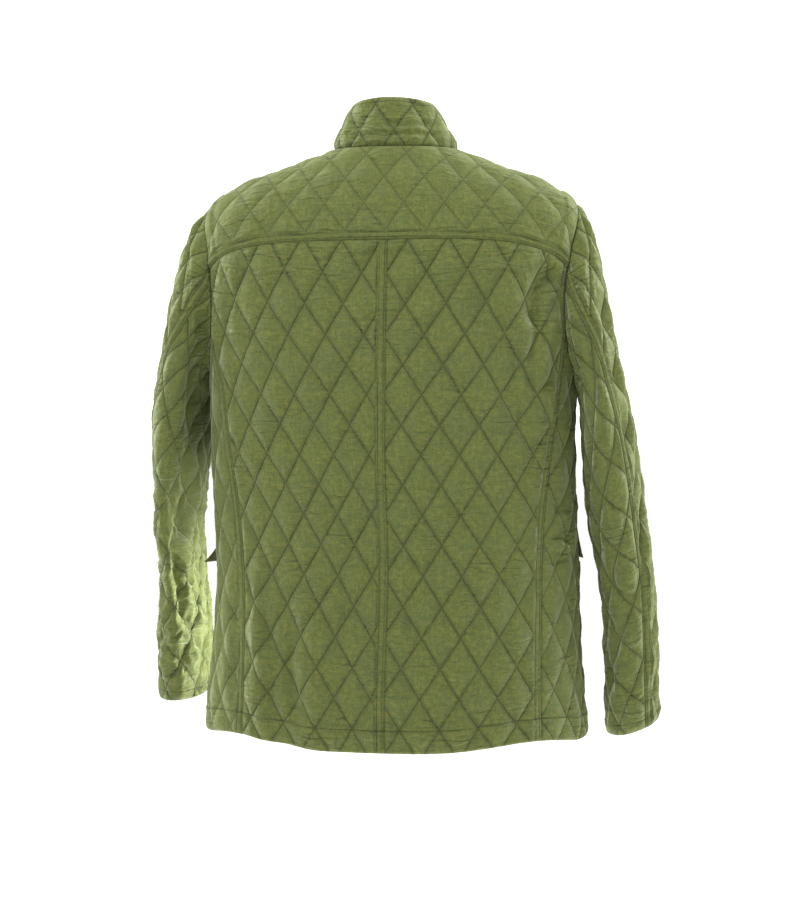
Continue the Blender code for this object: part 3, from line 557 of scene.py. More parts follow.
# Creases: pieces, half width, height, then a line of points, each given as its
# distance to the wearer's left of the middle, seen from a little off square, and its height.
# The hidden side gets the same creases, weaker and mirrored.
creases = (
    # small dark folds across the back
    (("backRight",), 0.0032, -0.0020, ((-0.017, -0.417), (-0.035, -0.419), (-0.056, -0.417))),
    (("backRight",), 0.0032, -0.0018, ((0.003, -0.462), (-0.012, -0.464), (-0.027, -0.461))),
    (("backRight",), 0.0030, -0.0015, ((-0.010, -0.500), (-0.032, -0.503))),
    (("backRight",), 0.0030, -0.0014, ((-0.050, -0.446), (-0.075, -0.449))),
    (("backRight",), 0.0030, -0.0014, ((-0.028, -0.560), (-0.060, -0.556))),
    (("backLeft",), 0.0032, -0.0018, ((0.049, -0.417), (0.026, -0.418))),
    (("backLeft",), 0.0032, -0.0018, ((0.097, -0.428), (0.062, -0.430))),
    (("backLeft",), 0.0030, -0.0014, ((0.115, -0.368), (0.080, -0.362))),
    (("backLeft",), 0.0030, -0.0014, ((0.060, -0.505), (0.030, -0.509))),
    (("backLeft",), 0.0030, -0.0013, ((0.132, -0.470), (0.100, -0.474))),
    # soft hanging folds at the lower left
    (("backLeft", "sideLeft"), 0.0090, 0.0034, ((0.172, -0.520), (0.167, -0.600), (0.163, -0.700))),
    (("backLeft",), 0.0065, -0.0034, ((0.161, -0.530), (0.157, -0.600), (0.150, -0.715))),
    (("backLeft",), 0.0085, 0.0030, ((0.140, -0.560), (0.136, -0.640), (0.130, -0.720))),
    (("backLeft",), 0.0065, -0.0028, ((0.128, -0.580), (0.124, -0.650), (0.118, -0.725))),
    (("backLeft",), 0.0090, 0.0022, ((0.106, -0.590), (0.103, -0.660), (0.097, -0.725))),
    (("sideLeft",), 0.0070, 0.0030, ((0.207, -0.520), (0.206, -0.600), (0.209, -0.690))),
    (("sideLeft",), 0.0050, -0.0030, ((0.198, -0.530), (0.197, -0.620), (0.200, -0.700))),
    # folds that run down from the right armhole
    (("backRight",), 0.0130, -0.0105, ((-0.188, -0.152), (-0.171, -0.183), (-0.156, -0.228))),
    (("backRight",), 0.0090, -0.0070, ((-0.172, -0.200), (-0.164, -0.250), (-0.160, -0.320))),
    (("backRight",), 0.0080, 0.0050, ((-0.182, -0.205), (-0.176, -0.250), (-0.172, -0.300))),
    (("backRight",), 0.0090, -0.0052, ((-0.143, -0.230), (-0.141, -0.280), (-0.137, -0.330))),
    (("sideRight",), 0.0040, -0.0030, ((-0.184, -0.482), (-0.198, -0.480), (-0.214, -0.488))),
    (("sideRight",), 0.0040, 0.0022, ((-0.184, -0.492), (-0.198, -0.490), (-0.214, -0.498))),
    (("sideRight",), 0.0038, -0.0022, ((-0.186, -0.446), (-0.214, -0.452))),
    (("sideRight",), 0.0038, -0.0020, ((-0.182, -0.512), (-0.210, -0.506))),
    # the left sleeve: a long fold along its back, and gathers inside the elbow
    (("upperLeft", "underLeft"), 0.0060, -0.0060, ((0.254, -0.300), (0.260, -0.364),
                                                  (0.265, -0.414), (0.2735, -0.463),
                                                  (0.278, -0.512), (0.2735, -0.562),
                                                  (0.267, -0.611))),
    (("underLeft",), 0.0095, -0.0140, ((0.238, -0.185), (0.241, -0.241), (0.249, -0.302),
                                      (0.250, -0.364), (0.244, -0.400))),
    (("underLeft", "upperLeft"), 0.0050, 0.0045, ((0.249, -0.310), (0.2535, -0.350),
                                                 (0.258, -0.390), (0.257, -0.438),
                                                 (0.2645, -0.488), (0.269, -0.537),
                                                 (0.262, -0.590))),
    (("underLeft",), 0.0038, 0.0036, ((0.248, -0.420), (0.259, -0.455), (0.250, -0.495),
                                     (0.262, -0.530))),
    (("underLeft",), 0.0034, -0.0034, ((0.244, -0.440), (0.255, -0.470), (0.246, -0.510))),
    (("underLeft",), 0.0034, 0.0030, ((0.240, -0.500), (0.253, -0.520), (0.258, -0.560),
                                     (0.248, -0.590))),
    (("underLeft",), 0.0034, -0.0030, ((0.262, -0.520), (0.250, -0.548), (0.238, -0.586))),
    (("underLeft",), 0.0034, 0.0030, ((0.266, -0.572), (0.252, -0.600), (0.240, -0.640))),
    (("underLeft",), 0.0034, -0.0030, ((0.268, -0.590), (0.254, -0.618), (0.240, -0.660))),
    (("underLeft",), 0.0034, 0.0026, ((0.268, -0.640), (0.250, -0.652), (0.238, -0.672))),
    (("upperLeft",), 0.0045, 0.0028, ((0.291, -0.500), (0.288, -0.560), (0.284, -0.620),
                                     (0.279, -0.650))),
    (("upperLeft",), 0.0045, -0.0026, ((0.285, -0.510), (0.282, -0.570), (0.276, -0.630))),
    (("upperLeft",), 0.0040, -0.0024, ((0.292, -0.335), (0.276, -0.350), (0.266, -0.372))),
    (("upperLeft",), 0.0040, -0.0024, ((0.294, -0.392), (0.280, -0.396), (0.268, -0.414))),
    # the right sleeve: ridges along its outer side, creases at the elbow and inside the cuff
    (("upperRight",), 0.0042, 0.0034, ((-0.238, -0.130), (-0.256, -0.200), (-0.268, -0.270),
                                      (-0.281, -0.340), (-0.290, -0.400))),
    (("upperRight",), 0.0042, -0.0034, ((-0.233, -0.140), (-0.249, -0.210), (-0.261, -0.270),
                                       (-0.273, -0.330), (-0.282, -0.400))),
    (("upperRight",), 0.0042, 0.0028, ((-0.300, -0.440), (-0.303, -0.520), (-0.306, -0.600),
                                      (-0.310, -0.680))),
    (("upperRight",), 0.0036, -0.0026, ((-0.296, -0.450), (-0.298, -0.530), (-0.301, -0.610),
                                       (-0.304, -0.670))),
    (("underRight",), 0.0030, -0.0024, ((-0.259, -0.524), (-0.266, -0.543), (-0.280, -0.550),
                                       (-0.291, -0.546))),
    (("underRight",), 0.0030, -0.0022, ((-0.266, -0.515), (-0.274, -0.536), (-0.288, -0.538))),
    (("underRight",), 0.0040, 0.0034, ((-0.263, -0.628), (-0.272, -0.655), (-0.268, -0.690),
                                      (-0.277, -0.715))),
    (("underRight",), 0.0036, -0.0034, ((-0.258, -0.640), (-0.267, -0.668), (-0.274, -0.700))),
    (("underRight",), 0.0036, -0.0028, ((-0.257, -0.560), (-0.262, -0.590), (-0.259, -0.620))),
)
# Pieces that lie flatter than the back: the share of wadding, of the quilted lines and of rumples.
flatter = {
    "yoke": (0.60, 0.55, 0.50),
    "sideLeft": (0.60, 0.65, 0.60),
    "sideRight": (0.75, 0.80, 0.90),
    "underLeft": (0.60, 1.00, 1.00),
}
# Crumpled areas: piece, from where to where down the cloth (from the cuff on a sleeve), and depth.
crumples = {
    "underLeft": (0.000, 0.340, 0.0052),
    "underRight": (0.000, 0.200, 0.0012),
    "upperLeft": (0.010, 0.240, 0.0012),
    "upperRight": (0.020, 0.420, 0.0012),
}
offSquare = math.radians(7.0)
toViewer = np.array((-math.sin(offSquare), math.cos(offSquare), 0.0))
toWearersLeft = np.array((math.cos(offSquare), math.sin(offSquare), 0.0))


def hiddenNames(names):  # the front pieces that mirror these, across the middle
    swap = {"Left": "Right", "Right": "Left"}
    names = [name.replace("back", "front").replace("side", "front") for name in names]
    return [name[:5] + swap[name[5:]] if name.startswith("front") else name for name in names]


def creaseHeight(piece, points, normals):
    facing = normals @ toViewer
    side = points @ toWearersLeft
    height = np.zeros(side.shape)
    onSleeve = piece.startswith(("upper", "under"))
    for pieces, halfWidth, lift, line in creases:
        for hidden in (False, True):
            mirrored = hidden and not onSleeve
            if piece not in (hiddenNames(pieces) if mirrored else pieces):
                continue
            path = np.array(line) * (-1.0 if mirrored else 1.0, 1.0)
            nearest = np.full(side.shape, 9.0)
            at = np.zeros(side.shape)
            total = len(path) - 1
            for k in range(total):
                a = path[k]
                run = path[k + 1] - a
                share = ((side - a[0]) * run[0] + (points[..., 2] - a[1]) * run[1]) / (run @ run)
                share = np.clip(share, 0.0, 1.0)
                away = np.hypot(side - a[0] - share * run[0],
                                points[..., 2] - a[1] - share * run[1])
                at = np.where(away < nearest, (k + share) / total, at)
                nearest = np.minimum(nearest, away)
            seen = smooth((-facing if hidden else facing) / 0.25) * (0.6 if hidden else 1.0)
            taper = smooth(np.minimum(at, 1 - at) / 0.25 + 0.15)
            height += lift * seen * taper * np.exp(-((nearest / halfWidth) ** 2))
    return height


def crumpleHeight(piece, across, down, seed):  # two sizes of ridges that lean across the cloth
    if piece not in crumples:
        return np.zeros(across.shape)
    start, end, depth = crumples[piece]
    x = across + 0.012 * waves(across * 34, down * 22, seed + 30)
    y = down + 0.012 * waves(across * 24, down * 30, seed + 31)
    coarse = 1 - np.abs(waves(x * 72 + y * 50, y * 52 - x * 42, seed + 32))
    fine = 1 - np.abs(waves(x * 130 - y * 60, y * 100 + x * 44, seed + 33))
    within = smooth((down - start) / 0.05) * smooth((end - down) / 0.10)
    return depth * within * (0.7 * coarse ** 1.6 + 0.3 * fine ** 1.5 - 0.45)


def turned(grid, edge):  # the grid with one edge as its first column
    if edge == "left":
        return grid
    if edge == "right":
        return grid[:, ::-1]
    if edge == "bottom":
        return np.swapaxes(grid, 0, 1)
    return np.swapaxes(grid[::-1], 0, 1)


def turnedBack(grid, edge):
    if edge == "left":
        return grid
    if edge == "right":
        return grid[:, ::-1]
    if edge == "bottom":
        return np.swapaxes(grid, 0, 1)
    return np.swapaxes(grid, 0, 1)[::-1]


def fromEdge(points, edge):  # every point's distance from one edge
    grid = turned(points, edge)
    step = np.diff(grid, axis=1)
    run = np.cumsum(np.linalg.norm(step, axis=-1), axis=1)
    run = np.concatenate((np.zeros((len(grid), 1)), run), axis=1)
    along = unit(np.gradient(grid[:, 0], axis=0))
    away = unit(grid[:, min(6, grid.shape[1] - 1)] - grid[:, 0])
    square = np.sqrt(np.clip(1 - np.sum(along * away, -1) ** 2, 0.05, 1))
    return turnedBack(run * square[:, None], edge)


def pullIn(points, normals, edge, gap):  # half the gap's width in from a sewn edge
    moved = points.copy()
    grid = turned(moved, edge)
    side = turned(normals, edge)[:, 0]
    along = unit(np.gradient(grid[:, 0], axis=0))
    inward = grid[:, 1] - grid[:, 0]
    inward = inward - along * np.sum(inward * along, -1, keepdims=True)
    inward = unit(inward - side * np.sum(inward * side, -1, keepdims=True))
    grid[:, 0] += inward * gap / 2
    return moved


# Turn the normals beside part of an edge towards those that its neighbour shares.
def blendNormals(normals, points, part, edgeNormals, edge, width=0.008):
    target = turned(normals.copy(), edge)
    target[part, :] = edgeNormals[:, None]
    only = turned(np.zeros(normals.shape[:2] + (1,)), edge)
    only[part, :] = 1.0
    share = np.exp(-fromEdge(points, edge) / width)[..., None] * turnedBack(only, edge)
    return unit(normals * (1 - share) + turnedBack(target, edge) * share)


def meshFrom(name, points, faces, materials, faceMaterial=None, uvs=None):
    mesh = bpy.data.meshes.new(name)
    mesh.from_pydata(points.tolist(), [], faces)
    if faceMaterial is not None:
        mesh.polygons.foreach_set("material_index", np.array(faceMaterial, np.int32))
    corner = np.zeros(len(mesh.loops), np.int32)
    mesh.loops.foreach_get("vertex_index", corner)
    for uvName, values in (uvs or {}).items():
        layer = mesh.uv_layers.new(name=uvName)
        layer.data.foreach_set("uv", values[corner].astype(np.float32).ravel())
    mesh.polygons.foreach_set("use_smooth", np.ones(len(mesh.polygons), bool))
    for one in materials:
        mesh.materials.append(one)
    mesh.update()
    piece = bpy.data.objects.new(name, mesh)
    bpy.context.scene.collection.objects.link(piece)
    return piece


def rimOf(rows, columns):
    last = rows - 1
    end = columns - 1
    return ([(0, i) for i in range(end)] + [(j, end) for j in range(last)]
            + [(last, i) for i in range(end, 0, -1)] + [(j, 0) for j in range(last, 0, -1)])


# A wall of cloth: a fine outer face, a rim round it, and an inner face with half as many cells.
def shellMesh(name, outer, inner, normals, roundOut, materials, uvs):
    rows, columns = outer.shape[:2]
    count = rows * columns
    at = np.arange(count).reshape(rows, columns)
    every = np.ix_(np.arange(0, rows, 2), np.arange(0, columns, 2))
    small = inner[every]
    rim = rimOf(rows, columns)
    rimJ = np.array([j for j, i in rim])
    rimI = np.array([i for j, i in rim])
    middle = (outer[rimJ, rimI] + inner[rimJ, rimI]) / 2 + roundOut[rimJ, rimI]
    base = count + len(rim)
    smallAt = base + np.arange(small.shape[0] * small.shape[1]).reshape(small.shape[:2])
    points = np.concatenate((outer.reshape(-1, 3), middle, small.reshape(-1, 3)))
    a, b, c, d = at[:-1, :-1], at[:-1, 1:], at[1:, 1:], at[1:, :-1]
    faces = np.stack((a, b, c, d), axis=-1).reshape(-1, 4)
    corner = points[faces[:, 0]]
    normal = np.cross(points[faces[:, 1]] - corner, points[faces[:, 3]] - corner)
    flip = np.sum(normal * normals[:-1, :-1].reshape(-1, 3)) < 0
    a, b, c, d = smallAt[:-1, :-1], smallAt[:-1, 1:], smallAt[1:, 1:], smallAt[1:, :-1]
    innerFaces = np.stack((d, c, b, a), axis=-1).reshape(-1, 4)
    rimFaces = []
    total = len(rim)
    for k in range(total):
        m = (k + 1) % total
        rimFaces.append((at[rim[m]], at[rim[k]], count + k, count + m))
        if k % 2 == 0:
            own = smallAt[rim[k][0] // 2, rim[k][1] // 2]
            rimFaces.append((count + m, count + k, own))
        else:
            before = smallAt[rim[k - 1][0] // 2, rim[k - 1][1] // 2]
            after = smallAt[rim[m][0] // 2, rim[m][1] // 2]
            rimFaces += [(count + m, count + k, after), (after, count + k, before)]
    faceList = [tuple(f) for f in faces.tolist()] + [tuple(f) for f in innerFaces.tolist()]
    faceList += [tuple(int(x) for x in f) for f in rimFaces]
    if flip:
        faceList = [f[::-1] for f in faceList]
    kinds = [0] * len(faces) + [1] * len(innerFaces) + [0] * len(rimFaces)
    packed = {}
    for key, values in uvs.items():
        parts = (values.reshape(-1, 2), values[rimJ, rimI], values[every].reshape(-1, 2))
        packed[key] = np.concatenate(parts)
    return meshFrom(name, points, faceList, materials, kinds, packed)


stitching = {
    "pitch": 0.0032,
    "length": 0.0024,
    "radius": 0.00042,
    "stand": 0.00022,
}


def stitchesAlong(path, normals):  # one small spindle of thread for each stitch
    run = np.concatenate(((0.0,), np.cumsum(np.linalg.norm(np.diff(path, axis=0), axis=-1))))
    count = max(int(run[-1] / stitching["pitch"]), 1)
    middle = (np.arange(count) + 0.5) * run[-1] / count
    half = stitching["length"] / 2

    def at(s, values):
        return np.stack([np.interp(s, run, values[:, k]) for k in range(3)], axis=-1)

    centre = at(middle, path)
    along = unit(at(middle + half, path) - at(middle - half, path))
    up = unit(at(middle, normals))
    up = unit(up - along * np.sum(up * along, -1, keepdims=True))
    side = np.cross(up, along)
    r = stitching["radius"]
    centre = centre + up * stitching["stand"]
    offsets = [(-half, 0, -r), (half, 0, -r)]
    for x in (-half * 0.55, half * 0.55):
        offsets += [(x, r, 0), (x, 0, r), (x, -r, 0), (x, 0, -r)]
    points = np.stack([centre + along * x + side * y + up * z for x, y, z in offsets], axis=1)
    template = []
    for k in range(4):
        m = (k + 1) % 4
        template += [(0, 2 + m, 2 + k), (2 + k, 2 + m, 6 + m)]
        template += [(2 + k, 6 + m, 6 + k), (1, 6 + k, 6 + m)]
    template = np.array(template)
    faces = template[None] + (np.arange(count) * len(offsets))[:, None, None]
    return points.reshape(-1, 3), faces.reshape(-1, 3)


def offsetPath(points, normals, near, edge, distance):  # the row at one distance from an edge
    grid = turned(points, edge)
    side = turned(normals, edge)
    run = turned(near, edge)
    beyond = run >= distance
    ok = beyond.any(axis=1)
    j = np.clip(beyond.argmax(axis=1), 1, run.shape[1] - 1)
    i = np.arange(len(grid))
    low = run[i, j - 1]
    share = np.clip((distance - low) / np.maximum(run[i, j] - low, 1e-9), 0, 1)[:, None]
    path = grid[i, j - 1] * (1 - share) + grid[i, j] * share
    up = unit(side[i, j - 1] * (1 - share) + side[i, j] * share)
    return path[ok], up[ok]


def gridNormals(points, like):
    normal = unit(np.cross(np.gradient(points, axis=1), np.gradient(points, axis=0)))
    return normal * np.sign(np.sum(normal * like, -1, keepdims=True))


def joinedStitches(name, pieces):
    offset = 0
    allPoints = []
    allFaces = []
    for points, faces in pieces:
        allPoints.append(points)
        allFaces.append(faces + offset)
        offset += len(points)
    thread = meshFrom(name, np.concatenate(allPoints), np.concatenate(allFaces).tolist(),
                      (material["thread"],))
    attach(thread, "root")
    return thread


def stitchRows(name, outer, normals, edges, nearOf):  # the topstitching along all of its edges
    rows = []
    for edge, kind in edges.items():
        for distance in edgeKinds[kind]["rows"]:
            path, up = offsetPath(outer, normals, nearOf[edge], edge, distance)
            if len(path) > 3:
                rows.append(stitchesAlong(path, up))
    return joinedStitches(name, rows)


clothEdges = {
    "pinchReach": 0.0022,     # how soon a pinched edge has risen
    "calmReach": 0.009,       # how soon the quilting is at its full height beside an edge
    "looseReach": 0.004,      # and how soon the creases are
    "rowDepth": 0.00075,      # of the groove under a row of stitches
    "rowWidth": 0.0013,
    "gatherPitch": 0.0070,    # of the small gathers beside a topstitched seam
    "gatherHeight": 0.00050,
    "gatherReach": 0.010,
    "flapBed": 0.0004,        # how far the cloth is pressed in under a pocket flap
    "sewnRound": 0.0004,      # how far a sewn rim reaches past the middle of its gap
    "freeRound": 0.0012,      # how far a free edge rounds out
}
gatheredPieces = ("backRight", "sideRight", "sideLeft")


# What a panel's edges do to it: how calm the quilting is, the relief of pinched edges, allowances
# and rows, the distance to the nearest row and sewn edge, and where the quilted lines show.
def edgeRelief(edges, nearOf):
    shape = next(iter(nearOf.values())).shape
    calm = np.ones(shape)
    lift = np.zeros(shape)
    rowNear = np.full(shape, noSeamNear)
    edgeNear = np.full(shape, noSeamNear)
    showing = np.ones(shape)
    for edge, kind in edges.items():
        near = nearOf[edge]
        rule = edgeKinds[kind]
        start = rule["width"] * (0.5 if kind == "band" else 0.0)
        calm = calm * smooth((near - start) / clothEdges["calmReach"])
        lift = lift - rule["pinch"] * np.exp(-near / clothEdges["pinchReach"])
        if rule["raise"]:
            band = smooth((rule["width"] + 0.0035 - near) / 0.004) * smooth((near + 0.0006) / 0.002)
            lift = lift + rule["raise"] * band
        for row in rule["rows"]:
            groove = np.exp(-(((near - row) / clothEdges["rowWidth"]) ** 2))
            lift = lift - clothEdges["rowDepth"] * groove
            rowNear = np.minimum(rowNear, np.abs(near - row))
        if kind == "band":
            showing = showing * smooth((near - rule["width"]) / 0.002)
        if kind in sewnKinds:
            edgeNear = np.minimum(edgeNear, near)
    return calm, lift, rowNear, edgeNear, showing


# Creases and crumples, and the small gathers beside some seams, fading out at every edge.
def wrinkleHeight(piece, bare, normals, across, down, edges, nearOf, seed):
    height = creaseHeight(piece, bare, normals) + crumpleHeight(piece, across, down, seed)
    for edge in ("left", "right"):
        if edges[edge] == "band" or piece in gatheredPieces:
            phase = down / clothEdges["gatherPitch"] + 0.9 * waves(across * 20, down * 30, seed + 8)
            strength = smooth(0.45 + 0.8 * waves(across * 2, down * 11, seed + 9))
            strength = strength * np.exp(-nearOf[edge] / clothEdges["gatherReach"])
            height += clothEdges["gatherHeight"] * np.sin(2 * math.pi * phase) * strength
    nearest = np.minimum.reduce(list(nearOf.values()))
    return height * smooth(nearest / clothEdges["looseReach"])


# One panel of quilted cloth on its bare surface, with its rows of stitches.
def dressPanel(name, node, piece, bare, normals, across, down, edges, gaps=None, seed=1, extra=None,
               flat=None):
    u, v = diamondPhase(piece, across, down)
    nearOf = {edge: fromEdge(bare, edge) for edge in edges}
    calm, lift, rowNear, edgeNear, showing = edgeRelief(edges, nearOf)
    wrinkles = wrinkleHeight(piece, bare, normals, across, down, edges, nearOf, seed)
    wadding, lineShare, rumpleShare = flatter.get(piece, (1.0, 1.0, 1.0))
    height = quiltHeight(u, v, across, down, seed)
    if flat is not None:
        height = height * (1 - flat) - clothEdges["flapBed"] * flat
    height = height * calm * wadding + wrinkles + lift
    if extra is not None:
        height = height + extra
    outer = bare + normals * height[..., None]
    inner = bare + normals * (np.minimum(wrinkles, 0.0) - body["thickness"])[..., None]
    gapOf = {edge: (gaps or {}).get(edge, body["seamGap"]) for edge in edges}
    for edge, kind in edges.items():
        if kind in sewnKinds:
            outer = pullIn(outer, normals, edge, gapOf[edge])
            inner = pullIn(inner, normals, edge, gapOf[edge])
    roundOut = np.zeros_like(outer)
    for edge, kind in edges.items():
        grid = turned(outer, edge)
        reach = clothEdges["freeRound"]
        if kind in sewnKinds:
            reach = gapOf[edge] / 2 + clothEdges["sewnRound"]
        turned(roundOut, edge)[:, 0] += unit(grid[:, 0] - grid[:, 2]) * reach
    uvs = {
        "cloth": np.stack((across, -down), axis=-1),
        "quilt": np.stack((u, v), axis=-1),
        "seam": np.stack((rowNear, edgeNear), axis=-1),
        "finish": np.stack((showing * lineShare, np.full_like(showing, rumpleShare)), axis=-1),
    }
    made = shellMesh(name, outer, inner, normals, roundOut,
                     (material["wool"], material["facing"]), uvs)
    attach(made, "root")
    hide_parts(node)
    sides = (bare[:-1, 1:] - bare[:-1, :-1], bare[1:, :-1] - bare[:-1, :-1])
    area = float(np.linalg.norm(np.cross(*sides), axis=-1).sum())
    width = float(across.max() - across.min())
    length = float(down.max() - down.min())
    area = min(area, width * length)
    thread = stitchRows("stitching_" + name, outer, gridNormals(outer, normals), edges, nearOf)
    print(f"jacket: {name} made, {width:.3f} by {length:.3f} m, {len(made.data.polygons)} faces")


def runAcross(points, columnZero, flat=True):  # cloth width along the rows from one column
    step = np.diff(points, axis=1)
    if flat:
        step = step[..., :2]
    run = np.cumsum(np.linalg.norm(step, axis=-1), axis=1)
    run = np.concatenate((np.zeros((len(points), 1)), run), axis=1)
    return run - run[:, columnZero][:, None]


def arcFrom(turn, level, start, count=24):  # cloth width at one level, from another turn
    share = steps(count).reshape((-1,) + (1,) * np.ndim(turn))
    levels = np.broadcast_to(level, (count + 1,) + np.shape(turn))
    path = bodyBare(start + (turn - start) * share, levels)
    return np.linalg.norm(np.diff(path[..., :2], axis=0), axis=-1).sum(axis=0)


def frontAcross(grid, points, side):  # straight with the front edge, over the chest too
    turn = grid[..., 0]
    level = grid[..., 1]
    chest = 0.16
    across = arcFrom(turn, level, frontEdgeTurn(level, side))
    turns = np.linspace(float(frontEdgeTurn(chest, side)), side * math.radians(95.0), 90)
    atChest = np.full_like(turns, chest)
    reach = side * bodyBare(turns, atChest)[:, 0]
    arcs = arcFrom(turns, atChest, turns[0])
    square = np.interp(side * points[..., 0], np.maximum.accumulate(reach), arcs)
    return np.where(level < chest, square, across)


def runUp(points, flat=True):  # cloth height along the columns, from the bottom
    step = np.diff(points, axis=0)
    if flat:
        step = step[..., 1:]
    run = np.cumsum(np.linalg.norm(step, axis=-1), axis=0)
    return np.concatenate((np.zeros((1, points.shape[1])), run), axis=0)


# A group of shader nodes, with its sockets as (name, kind, value) and (name, kind).
def newGroup(name, inputs, outputs):
    group = bpy.data.node_groups.new(name, "ShaderNodeTree")
    for socketName, kind, value in inputs:
        socket = group.interface.new_socket(name=socketName, in_out="INPUT", socket_type=kind)
        if value is not None:
            socket.default_value = value
    for socketName, kind in outputs:
        group.interface.new_socket(name=socketName, in_out="OUTPUT", socket_type=kind)
    return group, group.nodes.new("NodeGroupInput"), group.nodes.new("NodeGroupOutput")


def put(tree, kind, **values):
    node = tree.nodes.new(kind)
    for key, value in values.items():
        setattr(node, key, value)
    return node


def feed(tree, socket, value):
    if isinstance(value, bpy.types.NodeSocket):
        tree.links.new(value, socket)
    else:
        socket.default_value = value


def maths(tree, operation, first, second=None, third=None):
    node = put(tree, "ShaderNodeMath", operation=operation)
    for socket, value in zip(node.inputs, (first, second, third)):
        if value is not None:
            feed(tree, socket, value)
    return node.outputs[0]


def between(tree, value, low, high, fromLow=0.0, toHigh=1.0):  # eased from one value to another
    node = put(tree, "ShaderNodeMapRange", interpolation_type="SMOOTHSTEP")
    feed(tree, node.inputs["Value"], value)
    node.inputs["From Min"].default_value = low
    node.inputs["From Max"].default_value = high
    node.inputs["To Min"].default_value = fromLow
    node.inputs["To Max"].default_value = toHigh
    return node.outputs[0]


def scaled(tree, vector, by):
    node = put(tree, "ShaderNodeVectorMath", operation="MULTIPLY")
    feed(tree, node.inputs[0], vector)
    node.inputs[1].default_value = by
    return node.outputs[0]


def noise(tree, vector, scale, detail=2.0, roughness=0.5):
    node = put(tree, "ShaderNodeTexNoise")
    feed(tree, node.inputs["Vector"], vector)
    node.inputs["Scale"].default_value = scale
    node.inputs["Detail"].default_value = detail
    node.inputs["Roughness"].default_value = roughness
    return node.outputs["Fac"]


def mixColour(tree, factor, first, second, blend="MIX"):
    node = put(tree, "ShaderNodeMix", data_type="RGBA", blend_type=blend)
    feed(tree, node.inputs[0], factor)
    feed(tree, node.inputs[6], first)
    feed(tree, node.inputs[7], second)
    return node.outputs[2]


# The heathered wool's patches: tone, stretch, scale, detail, roughness, where each starts and is
# full, and its strength. Below, single threads: stretch, scale, detail, roughness and strength.
heatherPatches = (
    ("Warm", (1.0, 1.0, 1.0), 170.0, 3.0, 0.6, 0.40, 0.66, 1.00),
    ("Cool", (1.0, 1.0, 1.0), 30.0, 2.0, 0.5, 0.42, 0.70, 0.28),
    ("Cool", (1.0, 1.0, 1.0), 240.0, 2.0, 0.6, 0.52, 0.70, 0.70),
    ("Dark", (1.0, 1.6, 1.0), 420.0, 2.0, 0.7, 0.50, 0.74, 0.75),
)
heatherThreads = (
    ((1.0, 0.55, 1.0), 1500.0, 1.0, 0.6, 0.50),
    ((1.0, 0.05, 1.0), 620.0, 2.0, 0.6, 0.42),
    ((0.05, 1.0, 1.0), 620.0, 2.0, 0.6, 0.38),
)


def heatherGroup():
    group, start, end = newGroup(
        "heatheredYarn",
        (
            ("Cloth", "NodeSocketVector", None),
            ("Ground", "NodeSocketColor", (0.14, 0.17, 0.05, 1)),
            ("Warm", "NodeSocketColor", (0.20, 0.20, 0.05, 1)),
            ("Cool", "NodeSocketColor", (0.10, 0.16, 0.08, 1)),
            ("Dark", "NodeSocketColor", (0.06, 0.06, 0.02, 1)),
        ),
        (("Colour", "NodeSocketColor"),),
    )
    cloth = start.outputs["Cloth"]
    colour = start.outputs["Ground"]
    for tone, stretch, scale, detail, roughness, low, high, most in heatherPatches:
        patch = noise(group, scaled(group, cloth, stretch), scale, detail, roughness)
        patch = between(group, patch, low, high, 0.0, most)
        colour = mixColour(group, patch, colour, start.outputs[tone])
    light = 0.35
    for stretch, scale, detail, roughness, share in heatherThreads:
        thread = noise(group, scaled(group, cloth, stretch), scale, detail, roughness)
        light = maths(group, "MULTIPLY_ADD", thread, share, light)
    grey = put(group, "ShaderNodeCombineColor")
    for socket in grey.inputs[:3]:
        group.links.new(light, socket)
    colour = mixColour(group, 1.0, colour, grey.outputs[0], "MULTIPLY")
    group.links.new(colour, end.inputs["Colour"])
    return group


def weaveGroup():
    group, start, end = newGroup(
        "plainWeave",
        (("Cloth", "NodeSocketVector", None), ("Threads", "NodeSocketFloat", 1100.0),
         ("Nap", "NodeSocketFloat", 0.5)),
        (("Height", "NodeSocketFloat"),),
    )
    apart = put(group, "ShaderNodeSeparateXYZ")
    group.links.new(start.outputs["Cloth"], apart.inputs[0])
    turns = maths(group, "MULTIPLY", start.outputs["Threads"], 2 * math.pi)
    warp = maths(group, "SINE", maths(group, "MULTIPLY", apart.outputs[0], turns))
    weft = maths(group, "SINE", maths(group, "MULTIPLY", apart.outputs[1], turns))
    crossed = maths(group, "MULTIPLY", warp, weft)
    fuzz = noise(group, start.outputs["Cloth"], 900.0, 3.0, 0.7)
    height = maths(group, "MULTIPLY_ADD", crossed, 0.25, 0.5)
    height = maths(group, "MULTIPLY_ADD", fuzz, start.outputs["Nap"], height)
    group.links.new(height, end.inputs["Height"])
    return group


